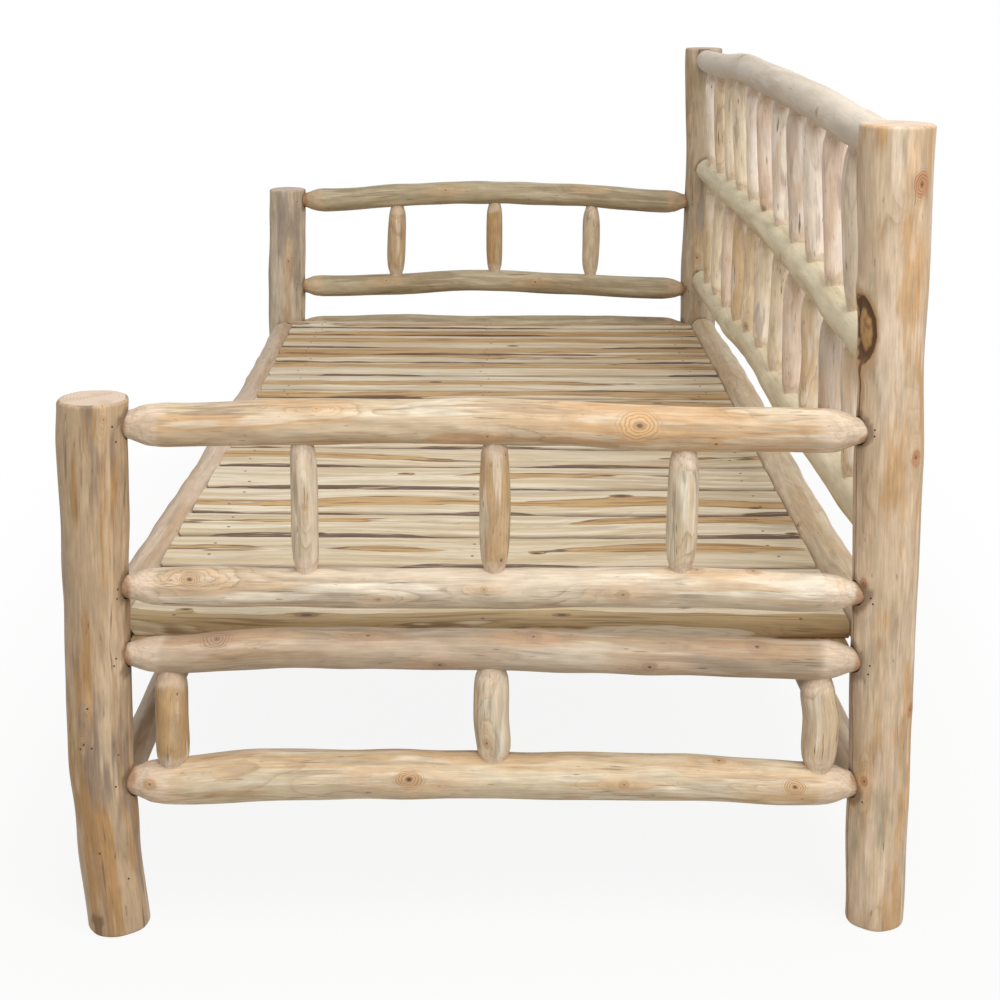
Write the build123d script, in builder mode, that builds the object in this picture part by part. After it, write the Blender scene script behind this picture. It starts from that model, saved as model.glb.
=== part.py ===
from build123d import *
from dataclasses import dataclass
from math import cos, degrees, pi, sin, sqrt
import os

# Rustic log daybed bench, in millimetres.
#
# Frame: X runs along the seat, Y from the open front to the back, Z up. The origin is on the
# floor under the middle. "Right" is the +X end, as seen by someone who faces the bench.
#
# The bench is built of peeled poles. Each pole is shaved to twelve flats and has its own gentle
# bends, so it is lofted through stations that are listed along it. The rails have tapered ends
# with round tenons that seat in blind mortises in the posts, and each spindle stands with both
# ends in sockets bored into the rails above and below it.

# ---- driving dimensions ---------------------------------------------------------------------

SIDES = 12                 # flats round every pole
HALF_FLAT = pi / SIDES     # half the angle that one flat takes
POST_X = 1008.0            # post centre from the middle of the bench
FRONT_Y = -491.0           # nominal centre line of the front posts
BACK_Y = 469.0             # nominal centre line of the back posts
SHORT_POST = 707.0         # height of the front posts
TALL_POST = 1036.0         # height of the back post at the right end

SEAT_TOP = 400.0           # top of the slats
SLAT_THICK = 20.0

EASE = 4.0                 # edge worn off the post tops and feet
TENON = 30.0               # tenon across its flats
MORTISE_STOP = 17.0        # wood left between a mortise's floor and the post's centre line
GLUE = 0.2                 # glue line round a tenon and under its tip
SHOW = 1.2                 # length of tenon that shows between a post and a shaved end
NECK = 20.0                # first, steep part of a shaved end
NECK_SHARE = 0.85          # pole size at the end of that part
SHAVED = 42.0              # length of a shaved end
SOCKET_STOP = 5.0          # wood between a spindle's tip and the rail's centre line
SOCKET_FLARE = 34.0        # reach of a socket drill beyond the rail's centre line


@dataclass(frozen=True)
class Station:
    """One section of a pole: how far along it lies, where its centre is, and its size."""

    along: float
    side: float
    up: float
    size: float


def between(stations, along):
    """The section of a pole at one place, from the stations on both sides of it."""
    for low, high in zip(stations, stations[1:]):
        if along <= high.along:
            break
    share = (along - low.along) / (high.along - low.along)
    mix = [a + share * (b - a) for a, b in (
        (low.side, high.side), (low.up, high.up), (low.size, high.size))]
    return Station(along, *mix)


# ---- posts ----------------------------------------------------------------------------------
# Stations of a post run up it: height, X of its centre, Y of its centre, size across flats.

def post(x, y, bends):
    """Stations of a post from its bends, each a height, two offsets and a size."""
    low, *middle, high = [Station(z, x + dx, y + dy, size) for z, dx, dy, size in bends]
    foot = [Station(low.along, low.side, low.up, low.size - 2 * EASE),
            Station(low.along + EASE, low.side, low.up, low.size)]
    top = [Station(high.along - EASE, high.side, high.up, high.size),
           Station(high.along, high.side, high.up, high.size - 2 * EASE)]
    return foot + middle + top


POSTS = {
    "post_front_right": post(POST_X, FRONT_Y, [
        (0, 19, -2, 80), (110, 4, -11, 81), (226, -1, -15, 80), (311, -2, -12, 80),
        (447, -4, -8, 81), (650, -1, 2, 84), (SHORT_POST, 0, 6, 84)]),
    "post_back_right": post(POST_X, BACK_Y, [
        (0, 0, 37, 75), (150, -1, 31, 77), (290, -3, 27, 79), (430, -4, 21, 81),
        (583, -4, 14, 81), (746, -3, 7, 80), (831, -2, 3, 81), (TALL_POST, -2, -7, 87)]),
    "post_front_left": post(-POST_X, FRONT_Y, [
        (0, -15, -12, 82), (130, -1, -10, 84), (400, 4, -8, 86), (SHORT_POST - 6, 0, 3, 83)]),
    "post_back_left": post(-POST_X, BACK_Y, [
        (0, -10, 16, 78), (300, -3, 10, 81), (564, -2, 8, 82), (795, 2, 8, 83),
        (TALL_POST - 13, 0, -1, 83)]),
}


def post_at(name, height):
    """The section of a post at a height."""
    return between(POSTS[name], height)


# ---- rails ----------------------------------------------------------------------------------

def tenoned(bends, start, end):
    """Stations of a rail with both ends shaved to a tenon.

    start and end are pairs: where the tenon's tip lies, and where the face of the post is.
    """
    first, last = bends[0], bends[-1]
    (tip_a, face_a), (tip_b, face_b) = start, end
    head = [
        Station(tip_a, first.side, first.up, TENON),
        Station(face_a + SHOW, first.side, first.up, TENON),
        Station(face_a + NECK, first.side, first.up, first.size * NECK_SHARE),
        Station(face_a + SHAVED, first.side, first.up, first.size)]
    tail = [
        Station(face_b - SHAVED, last.side, last.up, last.size),
        Station(face_b - NECK, last.side, last.up, last.size * NECK_SHARE),
        Station(face_b - SHOW, last.side, last.up, TENON),
        Station(tip_b, last.side, last.up, TENON)]
    return head + bends[1:-1] + tail


def end_rail(side, bends):
    """Stations of a rail that runs from a front post to a back post at one end of the bench."""
    poles = [Station(y, x, z, size) for y, x, z, size in bends]
    front = post_at(f"post_front_{side}", poles[0].up)
    back = post_at(f"post_back_{side}", poles[-1].up)
    reach = MORTISE_STOP + GLUE
    return tenoned(poles, (front.up + reach, front.up + front.size / 2),
                   (back.up - reach, back.up - back.size / 2))


def long_rail(row, bends):
    """Stations of a rail that runs from a left post to a right post."""
    poles = [Station(x, y, z, size) for x, y, z, size in bends]
    left = post_at(f"post_{row}_left", poles[0].up)
    right = post_at(f"post_{row}_right", poles[-1].up)
    reach = MORTISE_STOP + GLUE
    return tenoned(poles, (left.side + reach, left.side + left.size / 2),
                   (right.side - reach, right.side - right.size / 2))


RIGHT_X = POST_X
LEFT_X = -POST_X

# Bends of an end rail: Y, X, Z and size. The first and the last set where its tenons go in.
END_RAILS = {
    "arm_rail_right": end_rail("right", [
        (-391, RIGHT_X, 674, 55), (-236, RIGHT_X + 2, 678, 54), (6, RIGHT_X - 2, 679, 55),
        (238, RIGHT_X, 671, 55), (389, RIGHT_X + 7, 672, 53)]),
    "lower_arm_rail_right": end_rail("right", [
        (-401, RIGHT_X - 3, 464, 48), (-18, RIGHT_X, 464, 50), (244, RIGHT_X + 2, 468, 51),
        (389, RIGHT_X + 8, 463, 48)]),
    "end_seat_rail_right": end_rail("right", [
        (-411, RIGHT_X - 3, 373, 49), (-262, RIGHT_X, 383, 52), (-20, RIGHT_X + 2, 383, 53),
        (249, RIGHT_X, 375, 52), (389, RIGHT_X + 6, 373, 50)]),
    "end_stretcher_right": end_rail("right", [
        (-411, RIGHT_X, 197, 60), (-300, RIGHT_X + 3, 207, 66), (-130, RIGHT_X + 1, 208, 65),
        (20, RIGHT_X, 207, 61), (256, RIGHT_X - 3, 203, 60), (389, RIGHT_X + 5, 199, 56)]),
    "arm_rail_left": end_rail("left", [
        (-396, LEFT_X, 676, 52), (-250, LEFT_X - 2, 686, 52), (-40, LEFT_X, 695, 52),
        (169, LEFT_X + 2, 691, 51), (374, LEFT_X, 677, 52)]),
    "lower_arm_rail_left": end_rail("left", [
        (-396, LEFT_X + 3, 475, 50), (-253, LEFT_X, 479, 48), (-40, LEFT_X - 2, 488, 49),
        (173, LEFT_X, 482, 49), (374, LEFT_X, 471, 50)]),
    "end_seat_rail_left": end_rail("left", [
        (-411, LEFT_X + 3, 378, 50), (-200, LEFT_X, 380, 52), (0, LEFT_X - 2, 377, 53),
        (249, LEFT_X, 380, 52), (374, LEFT_X, 377, 50)]),
    "end_stretcher_left": end_rail("left", [
        (-411, LEFT_X, 198, 54), (-200, LEFT_X - 3, 206, 57), (60, LEFT_X, 207, 58),
        (374, LEFT_X, 197, 54)]),
}

# Bends of a long rail: X, Y, Z and size.
LONG_RAILS = {
    "seat_rail_front": long_rail("front", [
        (-900, -495, 374, 57), (-450, -488, 375, 57), (150, -486, 375, 57), (600, -493, 374, 60),
        (900, -497, 373, 59)]),
    "seat_rail_back": long_rail("back", [
        (-900, 482, 386, 57), (-450, 487, 388, 60), (300, 483, 386, 60), (650, 485, 385, 60),
        (900, 490, 384, 58)]),
    "stretcher_front": long_rail("front", [
        (-900, -496, 165, 45), (-300, -492, 170, 48), (450, -495, 166, 48), (900, -500, 162, 45)]),
    "stretcher_back": long_rail("back", [
        (-900, 484, 148, 45), (-350, 490, 152, 48), (400, 492, 148, 48), (900, 498, 145, 45)]),
    "back_lower_rail": long_rail("back", [
        (-900, 477, 504, 46), (-430, 478, 510, 48), (0, 479, 530, 50), (250, 479, 523, 50),
        (900, 486, 526, 49)]),
    "back_middle_rail": long_rail("back", [
        (-900, 476, 759, 47), (-430, 476, 767, 50), (50, 477, 771, 52), (450, 477, 763, 51),
        (900, 476, 751, 50)]),
    "back_top_rail": long_rail("back", [
        (-900, 467, 999, 47), (-600, 467, 1006, 50), (-280, 466, 1021, 52), (40, 465, 1020, 52),
        (450, 464, 1018, 51), (900, 463, 1008, 50)]),
}

RAILS = {**END_RAILS, **LONG_RAILS}


def rail_centre(name, along):
    """Centre of a rail, as (x, y, z), at one place along it."""
    here = between(RAILS[name], along)
    if name in END_RAILS:
        return here.side, along, here.up
    return along, here.side, here.up


# ---- spindles -------------------------------------------------------------------------------

@dataclass(frozen=True)
class Spindle:
    """A short upright pole between two rails."""

    low_rail: str
    high_rail: str
    along: float           # Y of the foot in an end frame, X in the back
    foot: float            # size of the end in the lower rail
    belly: float           # size at mid height
    head: float            # size of the end in the upper rail
    lean: float = 0.0      # how much further along the head stands than the foot
    bow: float = 0.0       # how far the belly stands off the line between them


def end_spindles(kind, low, high, rows):
    """The three spindles of one panel of an end frame."""
    return {
        f"{kind}_{place}": Spindle(low, high, *row)
        for place, row in zip(("front", "middle", "back"), rows)}


END_SPINDLES = {
    **end_spindles("arm_spindle_right", "lower_arm_rail_right", "arm_rail_right",
                   [(-234, 30, 34, 30), (0, 28, 38, 30), (231, 29, 40, 31)]),
    **end_spindles("lower_spindle_right", "end_stretcher_right", "end_seat_rail_right",
                   [(-413, 39, 43, 38, 2), (0, 40, 45, 39, -3, -2), (418, 38, 46, 37, -7, 4)]),
    **end_spindles("arm_spindle_left", "lower_arm_rail_left", "arm_rail_left",
                   [(-238, 32, 44, 32, 5), (-6, 30, 37, 30), (220, 29, 39, 29)]),
    **end_spindles("lower_spindle_left", "end_stretcher_left", "end_seat_rail_left",
                   [(-411, 36, 41, 36), (-4, 36, 40, 36), (413, 31, 39, 30)]),
}

BACK_SPINDLES = 11
BACK_PITCH = 158.0         # centre to centre of the back spindles
BELLIES = (36, 38, 35, 39, 36, 37, 34, 38, 36, 39, 37)     # mid sizes, repeated along the back
BACK_END = 30.0            # size of a back spindle's ends


def back_row(low, high, shift):
    """One row of back spindles, with the mid sizes taken from BELLIES starting at a shift."""
    start = -BACK_PITCH * (BACK_SPINDLES - 1) / 2
    return [
        Spindle(low, high, start + k * BACK_PITCH, BACK_END, BELLIES[(k + shift) % len(BELLIES)],
                BACK_END)
        for k in range(BACK_SPINDLES)]


BACK_ROWS = {
    "back_spindles_lower": back_row("back_lower_rail", "back_middle_rail", 0),
    "back_spindles_upper": back_row("back_middle_rail", "back_top_rail", 4),
}

ALL_SPINDLES = list(END_SPINDLES.values()) + [s for row in BACK_ROWS.values() for s in row]


def spindle_ends(spindle):
    """Centres of the two tips of a spindle, as (x, y, z)."""
    low = rail_centre(spindle.low_rail, spindle.along)
    high = rail_centre(spindle.high_rail, spindle.along + spindle.lean)
    return (*low[:2], low[2] + SOCKET_STOP), (*high[:2], high[2] - SOCKET_STOP)


# ---- making poles and boring them -----------------------------------------------------------

def section(origin, normal):
    """The sketch plane across a pole that runs along X, Y or Z."""
    x_dir = (0, 1, 0) if normal[0] else (1, 0, 0)
    return Plane(origin=origin, x_dir=x_dir, z_dir=normal)


def corners(centre, size, normal):
    """The corners of one section of a pole, turned so that flats face up and sideways."""
    plane = section(centre, normal)
    radius = size / 2 / cos(HALF_FLAT)
    turns = [HALF_FLAT * (2 * k + 1) for k in range(SIDES)]
    return [plane.from_local_coords((radius * cos(t), radius * sin(t), 0)) for t in turns]


def loft_pole(sections, normal):
    """Loft a pole through its sections, each a centre and a size, in the part being built.

    The flats between two sections are true planes, so each one is made as a flat face.
    """
    rings = [corners(centre, size, normal) for centre, size in sections]
    faces = [Face(Wire.make_polygon(rings[0])), Face(Wire.make_polygon(rings[-1]))]
    for low, high in zip(rings, rings[1:]):
        for k in range(SIDES):
            faces.append(Face(Wire.make_polygon((low[k - 1], low[k], high[k], high[k - 1]))))
    add(Solid(Shell(faces)))


def bore(centre, direction, size, depth):
    """Bore a socket from its floor outwards in the part being built."""
    with BuildSketch(section(centre, direction)) as mouth:
        RegularPolygon(size / 2 + GLUE, SIDES, major_radius=False, rotation=degrees(HALF_FLAT))
    extrude(mouth.sketch, amount=depth, mode=Mode.SUBTRACT)


def finish(part, label):
    """Name a part and write it."""
    part.label = label
    export_step(part, f"parts/{label}.step")


os.makedirs("parts", exist_ok=True)

# Posts, each with a mortise for every rail that it carries. A mortise runs from its floor
# outwards past the face of the post.
MORTISE_REACH = 60.0

for post_name, stations in POSTS.items():
    row, side = post_name.split("_")[1:]
    with BuildPart() as post_part:
        loft_pole([((s.side, s.up, s.along), s.size) for s in stations], (0, 0, 1))
        for rail_name, rail in END_RAILS.items():
            if rail_name.endswith(side):
                tip = rail[0] if row == "front" else rail[-1]
                inward = 1 if row == "front" else -1
                floor_y = tip.along - inward * GLUE
                bore((tip.side, floor_y, tip.up), (0, inward, 0), tip.size, MORTISE_REACH)
        for rail_name, rail in LONG_RAILS.items():
            if rail_name.endswith("front") == (row == "front"):
                tip = rail[0] if side == "left" else rail[-1]
                inward = 1 if side == "left" else -1
                floor_x = tip.along - inward * GLUE
                bore((floor_x, tip.side, tip.up), (inward, 0, 0), tip.size, MORTISE_REACH)
    finish(post_part.part, post_name)

# Bearers under the slats: sawn boards with their top faces against the slats. The outer edges of
# the front and back ones are cut to fit along the long rails and round the posts. A tenon at
# each end is set clear of the spindle that stands in the same end rail.
BEARER_DEEP = 34.0
BEARER_TOP = SEAT_TOP - SLAT_THICK
STUB_WIDE = 24.0
STUB_DEEP = 18.0
STUB_SEAT = 16.0           # how far a bearer's tenon goes into the end rail
BEARER_ROOM = 1.5          # room between a bearer's shoulder and the rail
SCRIBE = 2.0               # room between a bearer's outer edge and the poles beside it

# Y of each bearer's inner and outer edges and of its tenons, and the row that it is cut to fit.
BEARERS = {
    "seat_bearer_front": (-366.0, -460.0, -380.0, "front"),
    "seat_bearer_middle": (28.0, -48.0, -35.0, None),
    "seat_bearer_back": (358.0, 452.0, 384.0, "back"),
}


def bearer_faces(edges):
    """X of the sides of the left and right end seat rails, as far in as a bearer meets them."""
    left = max(s.side + s.size / 2 for s in (between(END_RAILS["end_seat_rail_left"], y)
                                             for y in edges))
    right = min(s.side - s.size / 2 for s in (between(END_RAILS["end_seat_rail_right"], y)
                                              for y in edges))
    return left, right


def outer_edge(row, left, right):
    """Corners of a bearer's outer edge, as (x, y), from its left end to its right end."""
    way = 1 if row == "front" else -1
    points = []
    for end, x in (("left", left), ("right", right)):
        post = post_at(f"post_{row}_{end}", BEARER_TOP)
        reach = post.size / 2 / cos(HALF_FLAT)
        points.append((x, post.up + way * (sqrt(reach ** 2 - (x - post.side) ** 2) + SCRIBE)))
    rail = [(s.along, s.side + way * (s.size / 2 / cos(HALF_FLAT) + SCRIBE))
            for s in LONG_RAILS[f"seat_rail_{row}"][4:-4]]
    return [points[0], *rail, points[1]]


def stub(x_low, x_high, y, play):
    """A bearer's tenon, or with play its mortise, as a bar along X in the part being built."""
    with BuildSketch(Plane.YZ.offset(x_low)) as bar:
        with Locations((y, BEARER_TOP - STUB_DEEP / 2)):
            Rectangle(STUB_WIDE + 2 * play, STUB_DEEP + 2 * play)
    extrude(bar.sketch, amount=x_high - x_low, mode=Mode.SUBTRACT if play else Mode.ADD)


# Rails, with the sockets of the spindles and bearers that they carry.
for rail_name, stations in RAILS.items():
    is_end = rail_name in END_RAILS
    with BuildPart() as rail_part:
        if is_end:
            loft_pole([((s.side, s.along, s.up), s.size) for s in stations], (0, 1, 0))
        else:
            loft_pole([((s.along, s.side, s.up), s.size) for s in stations], (1, 0, 0))
        for spindle in ALL_SPINDLES:
            foot_tip, head_tip = spindle_ends(spindle)
            if spindle.low_rail == rail_name:
                floor = (*foot_tip[:2], foot_tip[2] - GLUE)
                bore(floor, (0, 0, 1), spindle.foot, SOCKET_FLARE)
            if spindle.high_rail == rail_name:
                floor = (*head_tip[:2], head_tip[2] + GLUE)
                bore(floor, (0, 0, -1), spindle.head, SOCKET_FLARE)
        if rail_name.startswith("end_seat_rail"):
            for inner, outer, tenon, row in BEARERS.values():
                left, right = bearer_faces((inner, outer))
                if rail_name.endswith("left"):
                    stub(left - STUB_SEAT - GLUE, left + STUB_SEAT, tenon, GLUE)
                else:
                    stub(right - STUB_SEAT, right + STUB_SEAT + GLUE, tenon, GLUE)
    finish(rail_part.part, rail_name)

for bearer_name, (inner, outer, tenon, row) in BEARERS.items():
    left, right = bearer_faces((inner, outer))
    low_x, high_x = left + BEARER_ROOM, right - BEARER_ROOM
    edge = outer_edge(row, low_x, high_x) if row else [(low_x, outer), (high_x, outer)]
    with BuildPart() as bearer_part:
        with BuildSketch(Plane.XY.offset(BEARER_TOP)) as board:
            with BuildLine():
                Polyline((low_x, inner), *edge, (high_x, inner), close=True)
            make_face()
        extrude(board.sketch, amount=-BEARER_DEEP)
        stub(left - STUB_SEAT, right + STUB_SEAT, tenon, 0)
    finish(bearer_part.part, bearer_name)


# ---- spindles as solids ---------------------------------------------------------------------

def loft_spindle(spindle):
    """Loft a barrelled spindle from tip to tip in the part being built."""
    foot, head = spindle_ends(spindle)
    waist = [(a + b) / 2 for a, b in zip(foot, head)]
    waist[1] += spindle.bow
    seat = SOCKET_FLARE - SOCKET_STOP
    loft_pole([(foot, spindle.foot), ((*foot[:2], foot[2] + seat), spindle.foot),
               (tuple(waist), spindle.belly),
               ((*head[:2], head[2] - seat), spindle.head), (head, spindle.head)], (0, 0, 1))


for spindle_name, spindle in END_SPINDLES.items():
    with BuildPart() as spindle_part:
        loft_spindle(spindle)
    finish(spindle_part.part, spindle_name)

for row_name, row_spindles in BACK_ROWS.items():
    with BuildPart() as row_part:
        for spindle in row_spindles:
            loft_spindle(spindle)
    finish(row_part.part, row_name)


# ---- seat slats -----------------------------------------------------------------------------
# Sawn planks across the bench with waney edges. Their ends are undercut to lie against the
# round sides of the long seat rails.

SLAT_EDGES = (-967, -889, -811, -683, -615, -538, -420, -290, -229, -110, 10, 128, 242, 368,
              500, 608, 744, 866, 967)     # X of the gaps between slats
SLAT_GAP = 7.0
EDGE_DROP = 8.0            # height of the bevel on a slat's upper edges
EDGE_BEVEL = 6.0           # width of that bevel
EDGE_SWAY = (0, 3, -2, 1, -3, 2)           # how far a waney edge wanders, station by station
SLAT_STATIONS = 3
UNDERCUT = {"seat_rail_front": 38.0, "seat_rail_back": 4.0}    # lean of a slat's ends, in degrees
SLAT_PLAY = 1.0            # room between a slat's end and the rail


def sway(edge, station):
    """Wander of one waney edge at one station along the slats."""
    return EDGE_SWAY[(2 * edge + station) % len(EDGE_SWAY)]


def slat_end(rail_name, x_spots, inward):
    """The plane that cuts a slat's end off where the seat rail beside it comes furthest in."""
    rails = [between(LONG_RAILS[rail_name], x) for x in x_spots]
    rail = max(rails, key=lambda r: inward * r.side + r.size / 2)
    lean = Vector(0, inward, 0).rotate(Axis.X, inward * UNDERCUT[rail_name])
    corner = rail.size / 2 / cos(HALF_FLAT)
    return Plane(origin=Vector(0, rail.side, rail.up) + lean * (corner + SLAT_PLAY), z_dir=lean)


for k, (low_x, high_x) in enumerate(zip(SLAT_EDGES, SLAT_EDGES[1:])):
    front_y, back_y = FRONT_Y, BACK_Y
    with BuildPart() as slat_part:
        for n in range(SLAT_STATIONS):
            y = front_y + (back_y - front_y) * n / (SLAT_STATIONS - 1)
            a = low_x + sway(k, n) + SLAT_GAP / 2
            b = high_x + sway(k + 1, n) - SLAT_GAP / 2
            with BuildSketch(section((0, y, SEAT_TOP), (0, 1, 0))):
                with BuildLine():
                    Polyline((a, SLAT_THICK), (b, SLAT_THICK), (b, EDGE_DROP),
                             (b - EDGE_BEVEL, 0), (a + EDGE_BEVEL, 0), (a, EDGE_DROP), close=True)
                make_face()
        loft(ruled=True)
        split(bisect_by=slat_end("seat_rail_front", (low_x, high_x), 1), keep=Keep.TOP)
        split(bisect_by=slat_end("seat_rail_back", (low_x, high_x), -1), keep=Keep.TOP)
    finish(slat_part.part, f"seat_slat_{k + 1:02d}")
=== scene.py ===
"""Rustic log daybed bench: the look of its peeled teak poles, sawn slats and nails.

Everything is in metres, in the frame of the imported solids: X along the seat, Y from the open
front to the spindle back, Z up and the floor at zero. "Right" is the +X end. Each pole is grown
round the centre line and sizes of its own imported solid, so it stays where the solid is.
"""

import logging
import math
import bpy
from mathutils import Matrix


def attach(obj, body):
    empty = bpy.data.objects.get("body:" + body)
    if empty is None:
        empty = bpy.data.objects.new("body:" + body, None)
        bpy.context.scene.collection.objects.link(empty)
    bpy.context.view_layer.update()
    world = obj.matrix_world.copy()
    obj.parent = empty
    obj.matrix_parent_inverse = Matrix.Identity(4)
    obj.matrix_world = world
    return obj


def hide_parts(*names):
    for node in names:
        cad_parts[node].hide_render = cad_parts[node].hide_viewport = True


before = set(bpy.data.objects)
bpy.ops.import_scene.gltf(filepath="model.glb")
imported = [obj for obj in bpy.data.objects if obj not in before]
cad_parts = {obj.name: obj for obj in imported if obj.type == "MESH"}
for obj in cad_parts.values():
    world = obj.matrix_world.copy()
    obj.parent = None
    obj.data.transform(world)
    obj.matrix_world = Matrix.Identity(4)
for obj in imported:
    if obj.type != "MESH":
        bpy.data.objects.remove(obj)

import zlib
from collections.abc import Callable
from dataclasses import dataclass, field, replace
from enum import Enum
from functools import cache, partial

import bmesh
import bpy
import numpy as np
from mathutils import Matrix, Vector

log = logging.getLogger("bench")

Skin, Mesh, Node = bmesh.types.BMesh, bpy.types.Mesh, bpy.types.Node
Link = Node | bpy.types.NodeSocket
Array, Triple = np.ndarray, tuple[float, float, float]

MM = 0.001
WHITE = (1.0, 1.0, 1.0, 1.0)
ACROSS = (0.0, 1.0, 1.0)         # keeps what lies across the grain
NO_KNOT = (1.0, 1.0, 0.01)       # a knot so far off that it doesn't show


# ---- small tools ----------------------------------------------------------------------------


def linear(code: str) -> tuple[float, float, float, float]:
    """Turn an sRGB hex colour, such as "#D2BEAB", to linear light.

    Args:
        code: six hex digits after a hash.

    Returns:
        Red, green, blue and alpha, as the shaders take them.
    """
    parts = [int(code[i : i + 2], 16) / 255 for i in (1, 3, 5)]
    light = [c / 12.92 if c <= 0.04045 else ((c + 0.055) / 1.055) ** 2.4 for c in parts]
    return (*light, 1.0)


def add_node(tree: bpy.types.NodeTree, kind: str, links: dict | None = None,
             **settings: str | int | bool) -> Node:
    """Add one shader node with its settings, and fill or join its inputs.

    Args:
        tree: node tree that gets the node.
        kind: the node's type name after "ShaderNode".
        links: input name or number, to a plain value, an output, or a node for its first output.
        **settings: the node's own properties.

    Returns:
        The new node.
    """
    node = tree.nodes.new(f"ShaderNode{kind}")
    for name, value in settings.items():
        setattr(node, name, value)
    for name, value in (links or {}).items():
        if isinstance(value, Node):
            value = next(output for output in value.outputs if output.enabled)
        if isinstance(value, bpy.types.NodeSocket):
            tree.links.new(value, node.inputs[name])
        else:
            node.inputs[name].default_value = value
    return node


def ease(low: float, high: float, value: Array) -> Array:
    """Rise smoothly from 0 at low to 1 at high."""
    share = np.clip((value - low) / (high - low), 0.0, 1.0)
    return share * share * (3 - 2 * share)


def seeded(name: str) -> np.random.Generator:
    """Random numbers that depend on a piece's name alone."""
    return np.random.default_rng(zlib.crc32(name.encode()))


def put(name: str, data: bpy.types.ID) -> bpy.types.Object:
    """Put new data in the scene under a name.

    Args:
        name: the object's name.
        data: its mesh, camera or lamp.

    Returns:
        The new object.
    """
    thing = bpy.data.objects.new(name, data)
    bpy.context.scene.collection.objects.link(thing)
    return thing


def settle(skin: Skin, name: str) -> Mesh:
    """Turn a skin that is done into a named mesh.

    Args:
        skin: the skin, which is freed.
        name: the mesh's name.

    Returns:
        The mesh.
    """
    mesh = bpy.data.meshes.new(name)
    skin.to_mesh(mesh)
    skin.free()
    return mesh


def wrap(skin: Skin, rows: list[list[bmesh.types.BMVert]]) -> list[list[bmesh.types.BMFace]]:
    """Join closed rows of points by bands of faces.

    Args:
        skin: skin that gets the faces.
        rows: rings of points, all with the same count.

    Returns:
        The faces, band by band.
    """
    return [[skin.faces.new((row[i - 1], row[i], following[i], following[i - 1]))
             for i in (*range(1, len(row)), 0)] for row, following in zip(rows, rows[1:])]


def store(mesh: Mesh, **layers: Array) -> None:
    """Store three numbers for each point of a mesh, under each name.

    Args:
        mesh: the mesh.
        **layers: the numbers, by the name that the materials read.
    """
    for label, values in layers.items():
        layer = mesh.attributes.new(label, "FLOAT_VECTOR", "POINT")
        layer.data.foreach_set("vector", values.astype(np.float32).ravel())


def points_of(mesh: Mesh) -> Array:
    """All points of a mesh.

    Args:
        mesh: the mesh.

    Returns:
        The points, three numbers each.
    """
    flat = np.empty(len(mesh.vertices) * 3)
    mesh.vertices.foreach_get("co", flat)
    return flat.reshape(-1, 3)


class Curve:
    """A smooth line through stations that never swings past them.

    The slopes are those of a monotone cubic, so a pole that is straight between two stations
    stays straight, and a belly stays no thicker than its station says.
    """

    def __init__(self, at: Array, value: Array) -> None:
        """Work out the slopes from rising positions and the value at each.

        Args:
            at: the stations, rising.
            value: the value at each.
        """
        self.at, self.value = np.asarray(at, float), np.asarray(value, float)
        step = np.diff(self.at)
        rise = np.diff(self.value) / step
        slope = np.zeros(len(self.at))
        for i in range(1, len(step)):
            if rise[i - 1] * rise[i] > 0:
                a, b = 2 * step[i] + step[i - 1], step[i] + 2 * step[i - 1]
                slope[i] = (a + b) / (a / rise[i - 1] + b / rise[i])
        for end, following in ((0, min(1, len(step) - 1)), (-1, max(-2, -len(step)))):
            slope[end] = self._end_slope(step[end], step[following], rise[end], rise[following])
        self.step, self.slope = step, slope

    @staticmethod
    def _end_slope(near_step: float, far_step: float, near_rise: float, far_rise: float) -> float:
        """Slope at an end station, kept from pointing away from the next one.

        Args:
            near_step: length of the last stretch.
            far_step: length of the one before it.
            near_rise: mean slope of the last stretch.
            far_rise: mean slope of the one before it.

        Returns:
            The slope.
        """
        slope = ((2 * near_step + far_step) * near_rise - near_step * far_rise) / (near_step + far_step)
        if slope * near_rise <= 0:
            return 0.0
        return min(slope, 3 * near_rise, key=abs)

    def __call__(self, where: Array) -> Array:
        """Give the value at each place, held constant beyond the ends.

        Args:
            where: the places.

        Returns:
            The values.
        """
        where = np.clip(where, self.at[0], self.at[-1])
        i = np.clip(np.searchsorted(self.at, where) - 1, 0, len(self.step) - 1)
        h = self.step[i]
        t = (where - self.at[i]) / h
        a, b = self.value[i], self.value[i + 1]
        return ((1 + 2 * t) * (1 - t) ** 2 * a + t * (1 - t) ** 2 * h * self.slope[i]
                + t * t * (3 - 2 * t) * b + t * t * (t - 1) * h * self.slope[i + 1])


class Wander:
    """A smooth unevenness along and round a pole, made of a few seeded waves."""

    def __init__(self, rng: np.random.Generator, count: int, lobes: tuple[int, int],
                 lengths: tuple[float, float]) -> None:
        """Draw the waves.

        Args:
            rng: the piece's random numbers.
            count: number of waves.
            lobes: fewest and most waves round the pole.
            lengths: shortest and longest wave along it, in metres.
        """
        self.lobes = rng.integers(lobes[0], lobes[1] + 1, count)
        self.turns = 2 * np.pi / rng.uniform(*lengths, count) * rng.choice((-1, 1), count)
        self.phase = rng.uniform(0, 2 * np.pi, count)
        self.share = rng.uniform(0.5, 1.0, count)
        self.share /= np.sqrt((self.share ** 2).sum() / 2) * 1.6

    def __call__(self, along: Array, angle: Array) -> Array:
        """Give the unevenness, mostly between -1 and 1.

        Args:
            along: places along the pole.
            angle: directions round it.

        Returns:
            The unevenness at each.
        """
        total = np.zeros(np.broadcast(along, angle).shape)
        for lobes, turn, phase, share in zip(self.lobes, self.turns, self.phase, self.share):
            total += share * np.cos(lobes * angle + turn * along + phase)
        return total


# ---- finishes -------------------------------------------------------------------------------


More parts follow.
